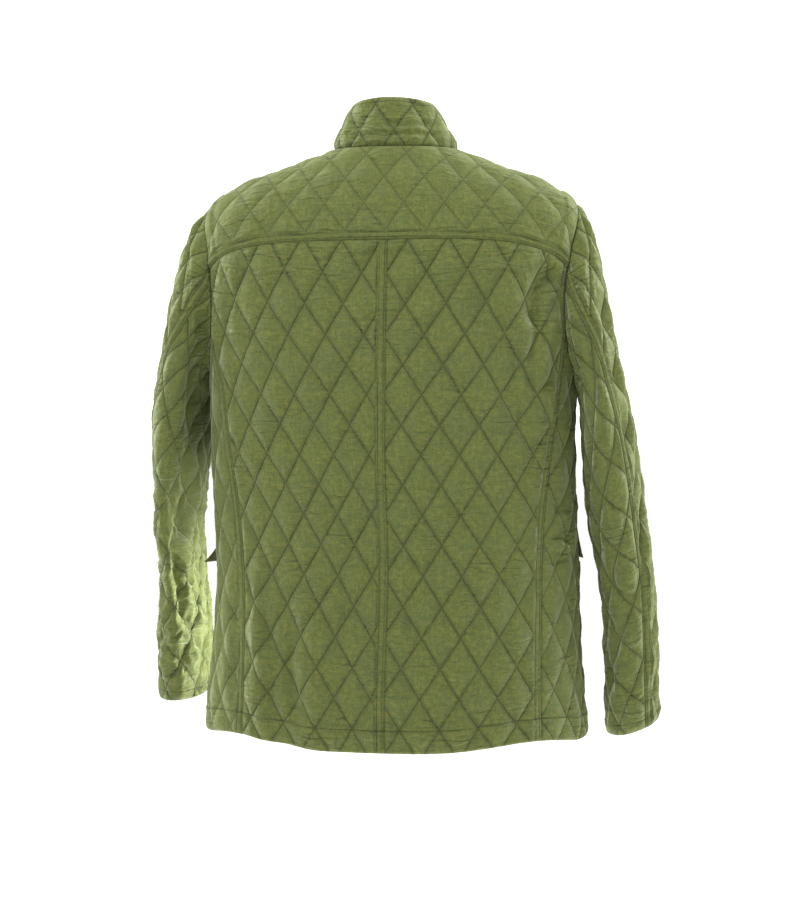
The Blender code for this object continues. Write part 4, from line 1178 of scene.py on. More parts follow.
def quiltLineGroup():
    group, start, end = newGroup(
        "quiltedLines",
        (
            ("Phase", "NodeSocketVector", None),
            ("Half width", "NodeSocketFloat", 0.0015),
            ("Stitches", "NodeSocketFloat", 14.0),
        ),
        (
            ("Line", "NodeSocketFloat"),
            ("Shade", "NodeSocketFloat"),
            ("Stitch", "NodeSocketFloat"),
            ("Pillow", "NodeSocketFloat"),
        ),
    )
    apart = put(group, "ShaderNodeSeparateXYZ")
    group.links.new(start.outputs["Phase"], apart.inputs[0])
    summed = maths(group, "ADD", apart.outputs[0], apart.outputs[1])
    less = maths(group, "SUBTRACT", apart.outputs[0], apart.outputs[1])
    threadHalf = maths(group, "MULTIPLY", start.outputs["Half width"], 0.4)
    lines = []
    dashes = []
    for over, along in ((summed, less), (less, summed)):
        away = maths(group, "ABSOLUTE", maths(group, "SUBTRACT", over, maths(group, "ROUND", over)))
        away = maths(group, "MULTIPLY", away, lineSpacing)
        lines.append(away)
        step = maths(group, "FRACT", maths(group, "MULTIPLY", along, start.outputs["Stitches"]))
        dash = maths(group, "LESS_THAN", step, 0.66)
        dashes.append(maths(group, "MULTIPLY", dash, maths(group, "LESS_THAN", away, threadHalf)))
    away = maths(group, "MINIMUM", lines[0], lines[1])
    share = maths(group, "DIVIDE", away, start.outputs["Half width"])
    # Line marks a stitched line, for its bump and for the painted shadow in its groove; Shade marks
    # painted shade on the cloth beside it
    group.links.new(between(group, share, 0.25, 1.0, 1.0, 0.0), end.inputs["Line"])
    group.links.new(between(group, share, 0.5, 3.6, 1.0, 0.0), end.inputs["Shade"])
    group.links.new(maths(group, "MAXIMUM", dashes[0], dashes[1]), end.inputs["Stitch"])
    pillow = maths(group, "POWER", between(group, away, -0.006, 0.018), 0.6)
    upwards = maths(group, "SUBTRACT", 1.0, maths(group, "FRACT", less))
    hang = maths(group, "ADD", maths(group, "FRACT", summed), upwards)   # fuller low in a diamond
    hang = maths(group, "MULTIPLY_ADD", hang, 0.55, 0.45)
    group.links.new(maths(group, "MULTIPLY", pillow, hang), end.inputs["Pillow"])
    return group


def rumpleGroup():
    group, start, end = newGroup(
        "rumples",
        (
            ("Cloth", "NodeSocketVector", None),
            ("Across", "NodeSocketFloat", 21.0),
            ("Down", "NodeSocketFloat", 92.0),
        ),
        (("Height", "NodeSocketFloat"),),
    )
    stretch = put(group, "ShaderNodeCombineXYZ")
    group.links.new(start.outputs["Across"], stretch.inputs[0])
    group.links.new(start.outputs["Down"], stretch.inputs[1])
    place = put(group, "ShaderNodeVectorMath", operation="MULTIPLY")
    group.links.new(start.outputs["Cloth"], place.inputs[0])
    group.links.new(stretch.outputs[0], place.inputs[1])
    folds = noise(group, place.outputs[0], 1.0, 1.4, 0.5)
    ridge = maths(group, "ABSOLUTE", maths(group, "SUBTRACT", folds, 0.5))   # 0 along a crest
    sharp = maths(group, "MULTIPLY", between(group, ridge, 0.0, 0.09), 0.24)
    height = maths(group, "MULTIPLY_ADD", folds, 1.2, sharp)
    where = between(group, noise(group, start.outputs["Cloth"], 16.0, 2.0), 0.38, 0.60, 0.1)
    group.links.new(maths(group, "MULTIPLY", height, where), end.inputs["Height"])
    return group


def seamLineGroup():
    group, start, end = newGroup(
        "seamLines",
        (("Seam", "NodeSocketVector", None), ("Row half width", "NodeSocketFloat", 0.0009)),
        (("Groove", "NodeSocketFloat"), ("Fold", "NodeSocketFloat")),
    )
    apart = put(group, "ShaderNodeSeparateXYZ")
    group.links.new(start.outputs["Seam"], apart.inputs[0])
    share = maths(group, "DIVIDE", apart.outputs[0], start.outputs["Row half width"])
    # Groove marks the painted shadow along each topstitched row
    group.links.new(between(group, share, 0.3, 1.2, 1.0, 0.0), end.inputs["Groove"])
    # Fold marks the painted shade in the pinched join at a sewn edge
    fold = between(group, apart.outputs[1], 0.0002, 0.0018, 1.0, 0.0)
    group.links.new(fold, end.inputs["Fold"])
    return group


woolLook = {
    "ground": (0.138, 0.176, 0.046, 1),
    "warm": (0.196, 0.212, 0.055, 1),
    "cool": (0.105, 0.148, 0.060, 1),
    "dark": (0.075, 0.072, 0.026, 1),
    # the dark colour that painted shade tends to in stitched lines, rows and joins
    "line": (0.036, 0.040, 0.008, 1),
    "lineShadow": 0.36,            # how dark the quilted lines are: painted shadow in their stitched grooves
    "lineShade": 0.16,           # and the painted shade on the cloth beside them
    "stitchShows": 0.6,
    "rowShadow": 0.66,             # how dark the painted shadow in the topstitched rows' grooves is
    "joinShade": 0.30,            # and the painted shade in the joins between pieces
    "roughness": 0.92,
    "sheen": 0.42,
    "sheenRoughness": 0.45,
    "sheenTint": (0.80, 0.90, 0.55, 1),
    "specular": 0.25,
    "weaveBump": (0.55, 0.0006),     # strength and depth
    "rumpleBump": (1.0, 0.0050),
    "pillowBump": (1.0, 0.0042),
    "lineBump": (0.8, 0.0008),
}
facingLook = {
    "ground": (0.115, 0.083, 0.054, 1),
    "shade": (0.072, 0.053, 0.036, 1),
    "threads": 800.0,
    "roughness": 0.85,
    "sheen": 0.15,
    "weaveBump": (0.4, 0.0005),
}
threadLook = {"colour": (0.095, 0.112, 0.036, 1), "roughness": 0.65, "twistBump": (0.4, 0.0002)}
buttonLook = {
    "dark": (0.010, 0.006, 0.003, 1),
    "light": (0.045, 0.024, 0.011, 1),
    "roughness": 0.38,
    "dullest": 0.5,
    "coat": 0.10,
    "grainBump": (0.12, 0.0002),
}


def newMaterial(name):
    made = bpy.data.materials.new(name)
    made.use_nodes = True
    tree = made.node_tree
    return made, tree, tree.nodes["Principled BSDF"]


def useGroup(tree, group):
    node = put(tree, "ShaderNodeGroup")
    node.node_tree = group
    return node


def uvOf(tree, name):
    return put(tree, "ShaderNodeUVMap", uv_map=name).outputs[0]


def bumpOn(tree, height, strength, distance, before=None):
    node = put(tree, "ShaderNodeBump")
    node.inputs["Strength"].default_value = strength
    node.inputs["Distance"].default_value = distance
    feed(tree, node.inputs["Height"], height)
    if before is not None:
        feed(tree, node.inputs["Normal"], before)
    return node.outputs[0]


def paintedShade(tree, colour, mask, share):  # painted shade: towards the dark line colour where a stitched line, row or join is shaded
    return mixColour(tree, maths(tree, "MULTIPLY", mask, share), colour, woolLook["line"])


def woolMaterial(groups, quilted):
    made, tree, shader = newMaterial("quiltedWool" if quilted else "flatWool")
    cloth = uvOf(tree, "cloth")
    yarn = useGroup(tree, groups["heather"])
    feed(tree, yarn.inputs["Cloth"], cloth)
    for tone in ("Ground", "Warm", "Cool", "Dark"):
        yarn.inputs[tone].default_value = woolLook[tone.lower()]
    colour = yarn.outputs["Colour"]
    weave = useGroup(tree, groups["weave"])
    feed(tree, weave.inputs["Cloth"], cloth)
    relief = maths(tree, "MULTIPLY", weave.outputs["Height"], 0.35)
    normal = bumpOn(tree, relief, *woolLook["weaveBump"])
    rumples = useGroup(tree, groups["rumples"])
    feed(tree, rumples.inputs["Cloth"], cloth)
    rumpled = rumples.outputs["Height"]
    if quilted:
        finish = put(tree, "ShaderNodeSeparateXYZ")
        feed(tree, finish.inputs[0], uvOf(tree, "finish"))
        stitched, rumpling = finish.outputs[:2]
        rumpled = maths(tree, "MULTIPLY", rumpled, rumpling)
    normal = bumpOn(tree, rumpled, *woolLook["rumpleBump"], normal)
    if quilted:
        lines = useGroup(tree, groups["lines"])
        feed(tree, lines.inputs["Phase"], uvOf(tree, "quilt"))
        line, shade, stitch, pillow = (
            maths(tree, "MULTIPLY", lines.outputs[name], stitched)
            for name in ("Line", "Shade", "Stitch", "Pillow")
        )
        # painted shade beside the quilted lines, then painted shadow in their grooves
        colour = paintedShade(tree, colour, shade, woolLook["lineShade"])
        colour = paintedShade(tree, colour, line, woolLook["lineShadow"])
        stitch = maths(tree, "MULTIPLY", stitch, woolLook["stitchShows"])
        colour = mixColour(tree, stitch, colour, threadLook["colour"])
        normal = bumpOn(tree, pillow, *woolLook["pillowBump"], normal)
        sunk = maths(tree, "SUBTRACT", 1.0, line)
        normal = bumpOn(tree, sunk, *woolLook["lineBump"], normal)
    seams = useGroup(tree, groups["seams"])
    feed(tree, seams.inputs["Seam"], uvOf(tree, "seam"))
    # painted shadow in the topstitched rows' grooves, then painted shade in the joins between
    # pieces
    colour = paintedShade(tree, colour, seams.outputs["Groove"], woolLook["rowShadow"])
    colour = paintedShade(tree, colour, seams.outputs["Fold"], woolLook["joinShade"])
    tree.links.new(colour, shader.inputs["Base Color"])
    tree.links.new(normal, shader.inputs["Normal"])
    shader.inputs["Roughness"].default_value = woolLook["roughness"]
    shader.inputs["Sheen Weight"].default_value = woolLook["sheen"]
    shader.inputs["Sheen Roughness"].default_value = woolLook["sheenRoughness"]
    shader.inputs["Sheen Tint"].default_value = woolLook["sheenTint"]
    shader.inputs["Specular IOR Level"].default_value = woolLook["specular"]
    return made


def facingMaterial(groups):
    made, tree, shader = newMaterial("brownFacing")
    cloth = uvOf(tree, "cloth")
    weave = useGroup(tree, groups["weave"])
    feed(tree, weave.inputs["Cloth"], cloth)
    weave.inputs["Threads"].default_value = facingLook["threads"]
    mottle = between(tree, noise(tree, cloth, 300.0, 3.0, 0.6), 0.35, 0.68)
    colour = mixColour(tree, mottle, facingLook["ground"], facingLook["shade"])
    normal = bumpOn(tree, weave.outputs["Height"], *facingLook["weaveBump"])
    tree.links.new(colour, shader.inputs["Base Color"])
    tree.links.new(normal, shader.inputs["Normal"])
    shader.inputs["Roughness"].default_value = facingLook["roughness"]
    shader.inputs["Sheen Weight"].default_value = facingLook["sheen"]
    return made


def threadMaterial():
    made, tree, shader = newMaterial("sewingThread")
    place = put(tree, "ShaderNodeTexCoord").outputs["Object"]
    twist = noise(tree, place, 2500.0, 1.0)
    shade = between(tree, twist, 0.35, 0.65)
    colour = mixColour(tree, shade, threadLook["colour"], woolLook["dark"])
    tree.links.new(colour, shader.inputs["Base Color"])
    tree.links.new(bumpOn(tree, twist, *threadLook["twistBump"]), shader.inputs["Normal"])
    shader.inputs["Roughness"].default_value = threadLook["roughness"]
    return made


def buttonMaterial():
    made, tree, shader = newMaterial("hornButton")
    place = put(tree, "ShaderNodeTexCoord").outputs["Object"]
    grain = noise(tree, scaled(tree, place, (1.0, 1.0, 3.0)), 180.0, 4.0, 0.6)
    streaks = between(tree, grain, 0.38, 0.68)
    colour = mixColour(tree, streaks, buttonLook["dark"], buttonLook["light"])
    dull = between(tree, grain, 0.3, 0.7, buttonLook["roughness"], buttonLook["dullest"])
    fine = noise(tree, place, 1400.0, 2.0)
    tree.links.new(colour, shader.inputs["Base Color"])
    tree.links.new(dull, shader.inputs["Roughness"])
    tree.links.new(bumpOn(tree, fine, *buttonLook["grainBump"]), shader.inputs["Normal"])
    shader.inputs["Coat Weight"].default_value = buttonLook["coat"]
    return made


groups = {"heather": heatherGroup(), "weave": weaveGroup(), "lines": quiltLineGroup(),
          "seams": seamLineGroup(), "rumples": rumpleGroup()}
material = {
    "wool": woolMaterial(groups, True),
    "flatWool": woolMaterial(groups, False),
    "facing": facingMaterial(groups),
    "thread": threadMaterial(),
    "button": buttonMaterial(),
}
print("jacket: materials made")


def onBody(grid):
    return bodyPoint(grid[..., 0], grid[..., 1]), bodyNormal(grid[..., 0], grid[..., 1])


# How many fine cells each panel has in one cell of the frame, across and along.
fineness = {
    "yoke": (11, 12),
    "back": (11, 20),
    "side": (8, 20),
    "front": (10, 14),
    "collar": (12, 8),
    "sleeve": (8, 16),
}
blendShort = 0.004   # how far a neck seam's shared normals reach
everyPlace = slice(None)


def makeYoke():
    a, u = fineness["yoke"]
    bottom = join(yokeSeam(1, a)[::-1], yokeSeam(-1, a))
    top = join(shoulderSeam(1, a), backNeck(a), shoulderSeam(-1, a)[::-1])
    angles = armholeAngles("shoulder", "yoke", u)[::-1]
    left = places(*armholePlace(angles, 1))
    right = places(*armholePlace(angles, -1))
    grid = fill(bottom, top, left, right)
    points, normals = onBody(grid)
    neck = slice(cells["shoulder"] * a, -cells["shoulder"] * a)
    normals = blendNormals(normals, points, everyPlace, armholeNormal(angles, 1), "left")
    normals = blendNormals(normals, points, everyPlace, armholeNormal(angles, -1), "right")
    normals = blendNormals(normals, points, neck, neckNormal(grid[-1, neck, 0]), "top", blendShort)
    square = points.copy()
    square[..., 1] *= smooth(1.3 - steps(len(left) - 1))[:, None]
    across = -runAcross(square, cells["back"] * a)
    kinds = {"bottom": "band", "top": "plain", "left": "armhole", "right": "armhole"}
    gaps = {"left": body["armholeGap"], "right": body["armholeGap"]}
    dressPanel("yoke", "back_yoke", "yoke", points, normals, across, runUp(points), kinds, gaps,
               seed=11)


def makeBack(word, side):
    a, u = fineness["back"]
    angles = armholeAngles("yoke", "sideBack", u)
    outer = join(armholeRun("yoke", "sideBack", side, u), sideBackSeam(side, u))[::-1]
    middle = centreBack(len(outer) - 1)[::-1]
    bottom = hem(middle[0, 0], outer[0, 0], cells["back"] * a)
    grid = fill(bottom, yokeSeam(side, a), middle, outer)
    points, normals = onBody(grid)
    arc = slice(len(outer) - len(angles), len(outer))
    normals = blendNormals(normals, points, arc, armholeNormal(angles[::-1], side), "right")
    kinds = {"bottom": "hem", "top": "plain", "left": "band", "right": "plain"}
    if side < 0:
        kinds.update(left="plain", right="band")
    dressPanel(f"back_{word}_cloth", f"back_{word}", f"back{word.capitalize()}", points, normals,
               runAcross(points, 0), grid[..., 1], kinds, {"right": body["armholeGap"]},
               seed=21 + side)


def makeSide(word, side):
    a, u = fineness["side"]
    backSeam = sideBackSeam(side, u)[::-1]
    frontSeam = sideSeam(side, u)[::-1]
    angles = armholeAngles("sideBack", "side", a)
    top = places(*armholePlace(angles, side))
    bottom = hem(backSeam[0, 0], frontSeam[0, 0], len(top) - 1)
    grid = fill(bottom, top, backSeam, frontSeam)
    points, normals = onBody(grid)
    normals = blendNormals(normals, points, everyPlace, armholeNormal(angles, side), "top")
    kinds = {"bottom": "hem", "top": "plain", "left": "band" if side > 0 else "plain",
             "right": "plain"}
    dressPanel(f"side_{word}_cloth", f"side_{word}", f"side{word.capitalize()}", points, normals,
               runAcross(points, 0), grid[..., 1], kinds, {"top": body["armholeGap"]},
               seed=31 + side)


# The front lies flat behind its pocket flap: how far that reaches above and below the flap's top,
# where it starts and ends from the side seam, and how softly it ends.
flapBed = {"above": 0.004, "below": 0.066, "start": 0.020, "end": 0.200, "ease": 0.008,
           "topEase": 0.006}


def underFlap(word, level, fromSide):
    topLevel = flapPlaces[word][0]
    top = smooth((level - topLevel + flapBed["above"]) / flapBed["topEase"])
    bottom = smooth((topLevel + flapBed["below"] - level) / flapBed["ease"])
    start = smooth((fromSide - flapBed["start"]) / flapBed["ease"])
    end = smooth((flapBed["end"] - fromSide) / flapBed["ease"])
    return top * bottom * start * end


def makeFront(word, side):
    a, u = fineness["front"]
    angles = armholeAngles("side", "shoulderAgain", u)
    outer = join(sideSeam(side, u)[::-1], places(*armholePlace(angles, side)))
    top = join(shoulderSeam(side, a), frontNeck(side, a))
    edge = frontEdge(len(outer) - 1, side)[::-1]
    bottom = hem(outer[0, 0], edge[0, 0], len(top) - 1)
    grid = fill(bottom, top, outer, edge, late=body["frontFillLate"])
    points, normals = onBody(grid)
    arc = slice(len(outer) - len(angles), len(outer))
    neck = slice(cells["shoulder"] * a, None)
    normals = blendNormals(normals, points, arc, armholeNormal(angles, side), "left")
    normals = blendNormals(normals, points, neck, neckNormal(grid[-1, neck, 0]), "top", blendShort)
    if side > 0:
        points = points + normals * frontLift(grid[..., 0], grid[..., 1])[..., None]
    across = frontAcross(grid, points, side)
    overChest = np.clip(points[..., 2] + 0.16, 0.0, None)
    down = -points[..., 2] - 0.25 * overChest   # the cloth is eased over the chest
    kinds = {"bottom": "hem", "top": "plain", "left": "plain", "right": "front"}
    dressPanel(f"front_{word}_cloth", f"front_{word}", f"front{word.capitalize()}", points, normals,
               across, down, kinds, {"left": body["armholeGap"]}, seed=41 + side,
               flat=underFlap(word, grid[..., 1], across.max() - across))


# The collar's slumped creases: height up the collar, half width and depth.
collarSlumps = ((0.0150, 0.0040, 0.0036), (0.0280, 0.0036, 0.0028))


def makeCollar():
    a, u = fineness["collar"]
    left = frontNeck(1, a)[::-1, 0]
    turn = np.concatenate((left, backNeck(a)[1:, 0], frontNeck(-1, a)[1:, 0]))
    turns, climbs = np.meshgrid(turn, steps(cells["collar"] * u))
    points = collarBare(turns, climbs)
    normals = -surfaceNormal(collarBare, turns, np.clip(climbs, 1e-3, 1 - 1e-3))
    normals = blendNormals(normals, points, everyPlace, neckNormal(turn), "bottom", blendShort)
    points = points + normals * frontLift(turns, np.zeros_like(turns))[..., None]
    across = -runAcross(points, len(turn) // 2)
    up = runUp(points, False)
    slump = np.zeros_like(up)
    for height, halfWidth, depth in collarSlumps:
        slump -= depth * np.exp(-(((up - height) / halfWidth) ** 2))
    nape = smooth(1.25 - np.abs(across) / 0.075)
    slump = slump * nape * (1 + 0.35 * waves(across * 30, up * 20, 5))
    kinds = {"bottom": "plain", "top": "collarTop", "left": "front", "right": "front"}
    dressPanel("collar_cloth", "collar", "collar", points, normals, across, up, kinds, seed=51,
               extra=slump)


def sleeveGrid(first, last, side, a, u):
    rows = sleeveRings["left" if side > 0 else "right"]
    head = armholeAngles(first, last, a)
    if first == "frontSleeve":   # the upper sleeve runs on over the top of the armhole
        more = 2 * math.pi + armholeAngles("shoulder", "backSleeve", a)[1:]
        head = np.concatenate((head, more)) - 2 * math.pi
    share = (head - head[0]) / (head[-1] - head[0])
    along = steps(cells["sleeve"] * u)
    backSeam = np.radians(readColumn(rows, "backSeam", "along", along))
    frontSeam = np.full_like(along, math.radians(sleeveFrontSeam))
    if first == "frontSleeve":
        start, end = frontSeam, backSeam
    else:
        start, end = backSeam, frontSeam + 2 * math.pi
    angle = start[:, None] + share[None, :] * (end - start)[:, None]
    return angle, np.broadcast_to(along[:, None], angle.shape)


def makeSleeve(part, word, side, first, last):
    angle, along = sleeveGrid(first, last, side, *fineness["sleeve"])
    points = sleevePoint(angle, along, side)
    normals = sleeveNormal(angle, along, side)
    normals = blendNormals(normals, points, everyPlace, armholeNormal(angle[0], side), "bottom")
    across = runAcross(points, 0, False)
    kinds = {"bottom": "armhole", "top": "cuff", "left": "plain", "right": "plain"}
    seed = 65 + side
    if part == "upper":   # its quilting is centred on the top of the arm
        zero = np.array([np.interp(0.0, angle[j], across[j]) for j in range(len(across))])
        across = across - zero[:, None]
        kinds["right"] = "band"
        seed = 61 + side
    run = runUp(points, False)
    name = f"sleeve_{part}_{word}"
    dressPanel(name + "_cloth", name, f"{part}{word.capitalize()}", points, normals, across,
               run[-1][None] - run, kinds, {"bottom": body["armholeGap"]}, seed=seed)


def makeSleeves(word, side):
    makeSleeve("upper", word, side, "frontSleeve", "shoulderAgain")
    makeSleeve("under", word, side, "backSleeve", "frontSleeve")


flapLook = {
    "width": 0.165,
    "height": 0.064,
    "thickness": 0.0024,
    "gap": 0.0013,           # between the front's bare cloth and the flap
    "fall": 0.002,           # how far its free edge stands off further
    "wave": 0.0006,
    "rowFromEdge": 0.006,    # the row of stitches, and its groove
    "rowDepth": 0.0004,
    "rowWidth": 0.0011,
    "pressed": 0.0006,       # how much thinner its edges are, and how far in
    "pressedReach": 0.0015,
    "round": 0.0008,
    "cellsAcross": 84,
    "cellsDown": 32,
}
# Top level, distance from the side seam, and how far the back corner turns out and up.
flapPlaces = {"left": (0.476, 0.028, 0.030, 0.001), "right": (0.464, 0.034, 0.006, 0.001)}


def walkTurn(level, start, distance):  # the turn at a distance round the body
    turns = np.linspace(start, start + 1.6, 320)
    points = bodyBare(turns, np.full_like(turns, level))
    run = np.concatenate(((0.0,), np.cumsum(np.linalg.norm(np.diff(points, axis=0), axis=-1))))
    return np.interp(distance, run, turns)


def makeFlap(word, side):
    topLevel, fromSide, out, up = flapPlaces[word]
    across = steps(flapLook["cellsAcross"])
    down = steps(flapLook["cellsDown"])
    grid = np.zeros((len(down), len(across), 2))
    for j, share in enumerate(down):
        level = topLevel + flapLook["height"] * share
        distance = fromSide + flapLook["width"] * across
        grid[j, :, 0] = side * walkTurn(level, math.radians(body["sideSeamTurn"]), distance)
        grid[j, :, 1] = level
    corner = (1 - across[None, :]) ** 3 * down[:, None] ** 2
    lift = flapLook["gap"] + flapLook["thickness"] + flapLook["fall"] * down[:, None] ** 2
    lift = lift + out * corner
    lift = lift + flapLook["wave"] * waves(across[None, :] * 7 + 3 * down[:, None],
                                           down[:, None] * 3, 71)
    bare, outwards = onBody(grid)
    points = bare + outwards * lift[..., None]
    points[..., 2] += up * corner
    normals = gridNormals(points, outwards)
    near = {edge: fromEdge(points, edge) for edge in ("left", "right", "top")}
    closest = np.minimum.reduce(list(near.values()))
    height = -flapLook["pressed"] * np.exp(-closest / flapLook["pressedReach"])
    for away in near.values():
        groove = np.exp(-(((away - flapLook["rowFromEdge"]) / flapLook["rowWidth"]) ** 2))
        height = height - flapLook["rowDepth"] * groove
    outer = points + normals * height[..., None]
    inner = points - normals * flapLook["thickness"]
    roundOut = np.zeros_like(outer)
    for edge in near:
        fromHere = turned(outer, edge)
        away = unit(fromHere[:, 0] - fromHere[:, 2])
        turned(roundOut, edge)[:, 0] += away * flapLook["round"]
    x = np.broadcast_to((flapLook["width"] * across)[None, :], corner.shape)
    y = np.broadcast_to((flapLook["height"] * down)[:, None], corner.shape)
    rowNear = np.abs(closest - flapLook["rowFromEdge"])
    uvs = {
        "cloth": np.stack((x, -y), axis=-1),
        "quilt": np.zeros(corner.shape + (2,)) + 0.5,
        "seam": np.stack((rowNear, np.ones_like(x)), axis=-1),
    }
    name = f"pocket_flap_{word}"
    made = shellMesh(name, outer, inner, normals, roundOut,
                     (material["flatWool"], material["facing"]), uvs)
    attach(made, "root")
    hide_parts(f"flap_{word}")
    top = gridNormals(outer, normals)
    rows = []
    for edge in near:
        path, stand = offsetPath(outer, top, near[edge], edge, flapLook["rowFromEdge"])
        rows.append(stitchesAlong(path[3:-3], stand[3:-3]))   # clear of the corners
    thread = joinedStitches("stitching_" + name, rows)


buttonShape = {
    "radius": 0.0100,
    "thickness": 0.0034,
    "sides": 64,
    "levels": (0.045, 0.165, 0.285, 0.405, 0.525),
    "collarClimb": 0.5,
    "holeOut": 0.0021,
    "holeRadius": 0.00085,
    "holeDepth": 0.0014,
    # out from the middle and up, as shares of the radius and the thickness
    "profile": ((0.00, 0.00), (0.80, 0.00), (0.93, 0.12), (1.00, 0.42), (0.99, 0.72),
                (0.94, 0.93), (0.88, 1.00), (0.82, 0.96), (0.77, 0.80), (0.72, 0.64),
                (0.66, 0.60)),
    "threadRadius": 0.0002,
    "threadShifts": (-0.00035, 0.0, 0.00035),
}
buttonholeShape = {
    "length": 0.024,
    "start": -0.42,          # where it starts and ends beside the button, as a share of its length
    "end": 0.58,
    "bars": 34,
    "slit": 0.0003,          # half the slit, and how far out the bars reach
    "reach": 0.0017,
    "barRadius": 0.00034,
    "tackHalf": 0.0018,      # the heavier bar across each end
    "tackRadius": 0.0005,
    "stand": 0.0012,         # over the front's bare cloth
}


def buttonHoles(x, y):  # how deep the four holes are at each place on the face
    depth = np.zeros_like(x)
    for k in range(4):
        a = math.pi / 4 + k * math.pi / 2
        away = np.hypot(x - buttonShape["holeOut"] * math.cos(a),
                        y - buttonShape["holeOut"] * math.sin(a))
        depth += smooth((buttonShape["holeRadius"] * 1.25 - away) / 0.0005)
    return buttonShape["holeDepth"] * depth


def buttonThread(centre, normal, side, up):  # two crossed bars of thread over the holes
    height = normal * buttonShape["thickness"] * 0.62
    share = np.linspace(-1, 1, 13)
    arch = normal * (0.0005 * (1 - share ** 2) - 0.0003)[:, None]
    bars = []
    for a in (math.pi / 4, 3 * math.pi / 4):
        along = math.cos(a) * side + math.sin(a) * up
        beside = math.cos(a + math.pi / 2) * side + math.sin(a + math.pi / 2) * up
        for shift in buttonShape["threadShifts"]:
            path = centre + height + along * (share * buttonShape["holeOut"])[:, None]
            path = path + beside * shift + arch
            bars.append(tubeAlong(path, buttonShape["threadRadius"]))
    return bars


def makeButton(name, node, centre, normal):
    sides = buttonShape["sides"]
    side = unit(np.cross(normal, (0.0, 0.0, 1.0)))
    up = np.cross(side, normal)
    thickness = buttonShape["thickness"]
    radii = [r * buttonShape["radius"] for r, _ in buttonShape["profile"]]
    heights = [h * thickness for _, h in buttonShape["profile"]]
    rim = radii[-1]
    face = np.linspace(rim, 0.0003, 26)[1:]
    radii += list(face)
    heights += [thickness * (0.60 - 0.05 * math.cos(math.pi * r / rim / 2)) for r in face]
    angles = 2 * math.pi * np.arange(sides) / sides
    points = [centre + normal * heights[0]]
    for r, h in zip(radii[1:], heights[1:]):
        x = r * np.cos(angles)
        y = r * np.sin(angles)
        z = np.full(sides, h)
        if r < rim:
            z = z - buttonHoles(x, y)
        points += list(centre + x[:, None] * side + y[:, None] * up + z[:, None] * normal)
    points.append(centre + normal * heights[-1])
    rings = len(radii) - 1
    last = len(points) - 1
    base = 1 + (rings - 1) * sides
    faces = [(0, 1 + (k + 1) % sides, 1 + k) for k in range(sides)]
    for j in range(rings - 1):
        low = 1 + j * sides
        for k in range(sides):
            m = (k + 1) % sides
            faces.append((low + k, low + m, low + sides + m, low + sides + k))
    faces += [(base + k, base + (k + 1) % sides, last) for k in range(sides)]
    made = meshFrom(name, np.array(points), faces, (material["button"],))
    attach(made, "root")
    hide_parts(node)
    joinedStitches("thread_" + name, buttonThread(centre, normal, side, up))


def tubeAlong(path, radius, sides=6):
    along = unit(np.gradient(path, axis=0))
    helper = np.where(np.abs(along[:, 2:3]) > 0.9, (1.0, 0.0, 0.0), (0.0, 0.0, 1.0))
    first = unit(np.cross(along, helper))
    second = np.cross(along, first)
    angles = 2 * math.pi * np.arange(sides) / sides
    rings = path[:, None] + radius * (np.cos(angles)[None, :, None] * first[:, None]
                                      + np.sin(angles)[None, :, None] * second[:, None])
    points = np.concatenate((rings.reshape(-1, 3), path[:1], path[-1:]))
    faces = []
    for j in range(len(path) - 1):
        for k in range(sides):
            m = (k + 1) % sides
            a, b = j * sides + k, j * sides + m
            faces += [(a, b, b + sides), (a, b + sides, a + sides)]
    start = len(path) * sides
    final = (len(path) - 1) * sides
    for k in range(sides):
        m = (k + 1) % sides
        faces += [(start, m, k), (start + 1, final + k, final + m)]
    return points, np.array(faces)


def makeButtonhole(centre, normal, across):
    shape = buttonholeShape
    up = np.cross(normal, across)
    bars = []
    for share in np.linspace(shape["start"], shape["end"], shape["bars"]):
        at = centre + across * share * shape["length"]
        for half in (-1, 1):
            start = at + up * half * shape["slit"]
            end = at + up * half * shape["reach"]
            middle = (start + end) / 2 + normal * 0.0004
            path = np.stack((start - normal * 0.0002, middle, end - normal * 0.0001))
            bars.append(tubeAlong(path, shape["barRadius"], 5))
    for share in (shape["start"], shape["end"]):
        at = centre + across * share * shape["length"]
        start = at - up * shape["tackHalf"]
        end = at + up * shape["tackHalf"]
        path = np.stack((start, (start + end) / 2 + normal * 0.0005, end))
        bars.append(tubeAlong(path, shape["tackRadius"]))
    return bars


def makeButtons():
    turn = np.array([math.pi])
    spots = []
    for count, level in enumerate(buttonShape["levels"], 1):
        at = (turn, np.array([level]))
        spots.append((count, bodyPoint(*at)[0], bodyNormal(*at)[0], frontLift(*at)[0]))
    at = (turn, np.array([buttonShape["collarClimb"]]))
    spots.append(("collar", collarBare(*at)[0], -surfaceNormal(collarBare, *at)[0],
                  frontLift(turn, np.zeros(1))[0]))
    holes = []
    for word, point, normal, lift in spots:
        centre = point + normal * (lift + body["layerGap"])
        makeButton(f"horn_button_{word}", f"button_{word}", centre, normal)
        side = unit(np.cross((0.0, 0.0, 1.0), normal))
        holes += makeButtonhole(point + normal * (lift + buttonholeShape["stand"]), normal, side)
    joinedStitches("buttonholes", holes)


makeYoke()
makeCollar()
for word, side in (("left", 1), ("right", -1)):
    makeBack(word, side)
    makeSide(word, side)
    makeFront(word, side)
    makeSleeves(word, side)
    makeFlap(word, side)
makeButtons()
print("jacket: all pieces made")


view = {
    "turn": 187.0,          # degrees round the jacket, nearly straight behind it
    "distance": 2.20,
    "height": -0.253,
    "lens": 68.455,
    "sensor": 36.0,
    "shiftX": 0.0027,
    "shiftY": -0.1171,
}


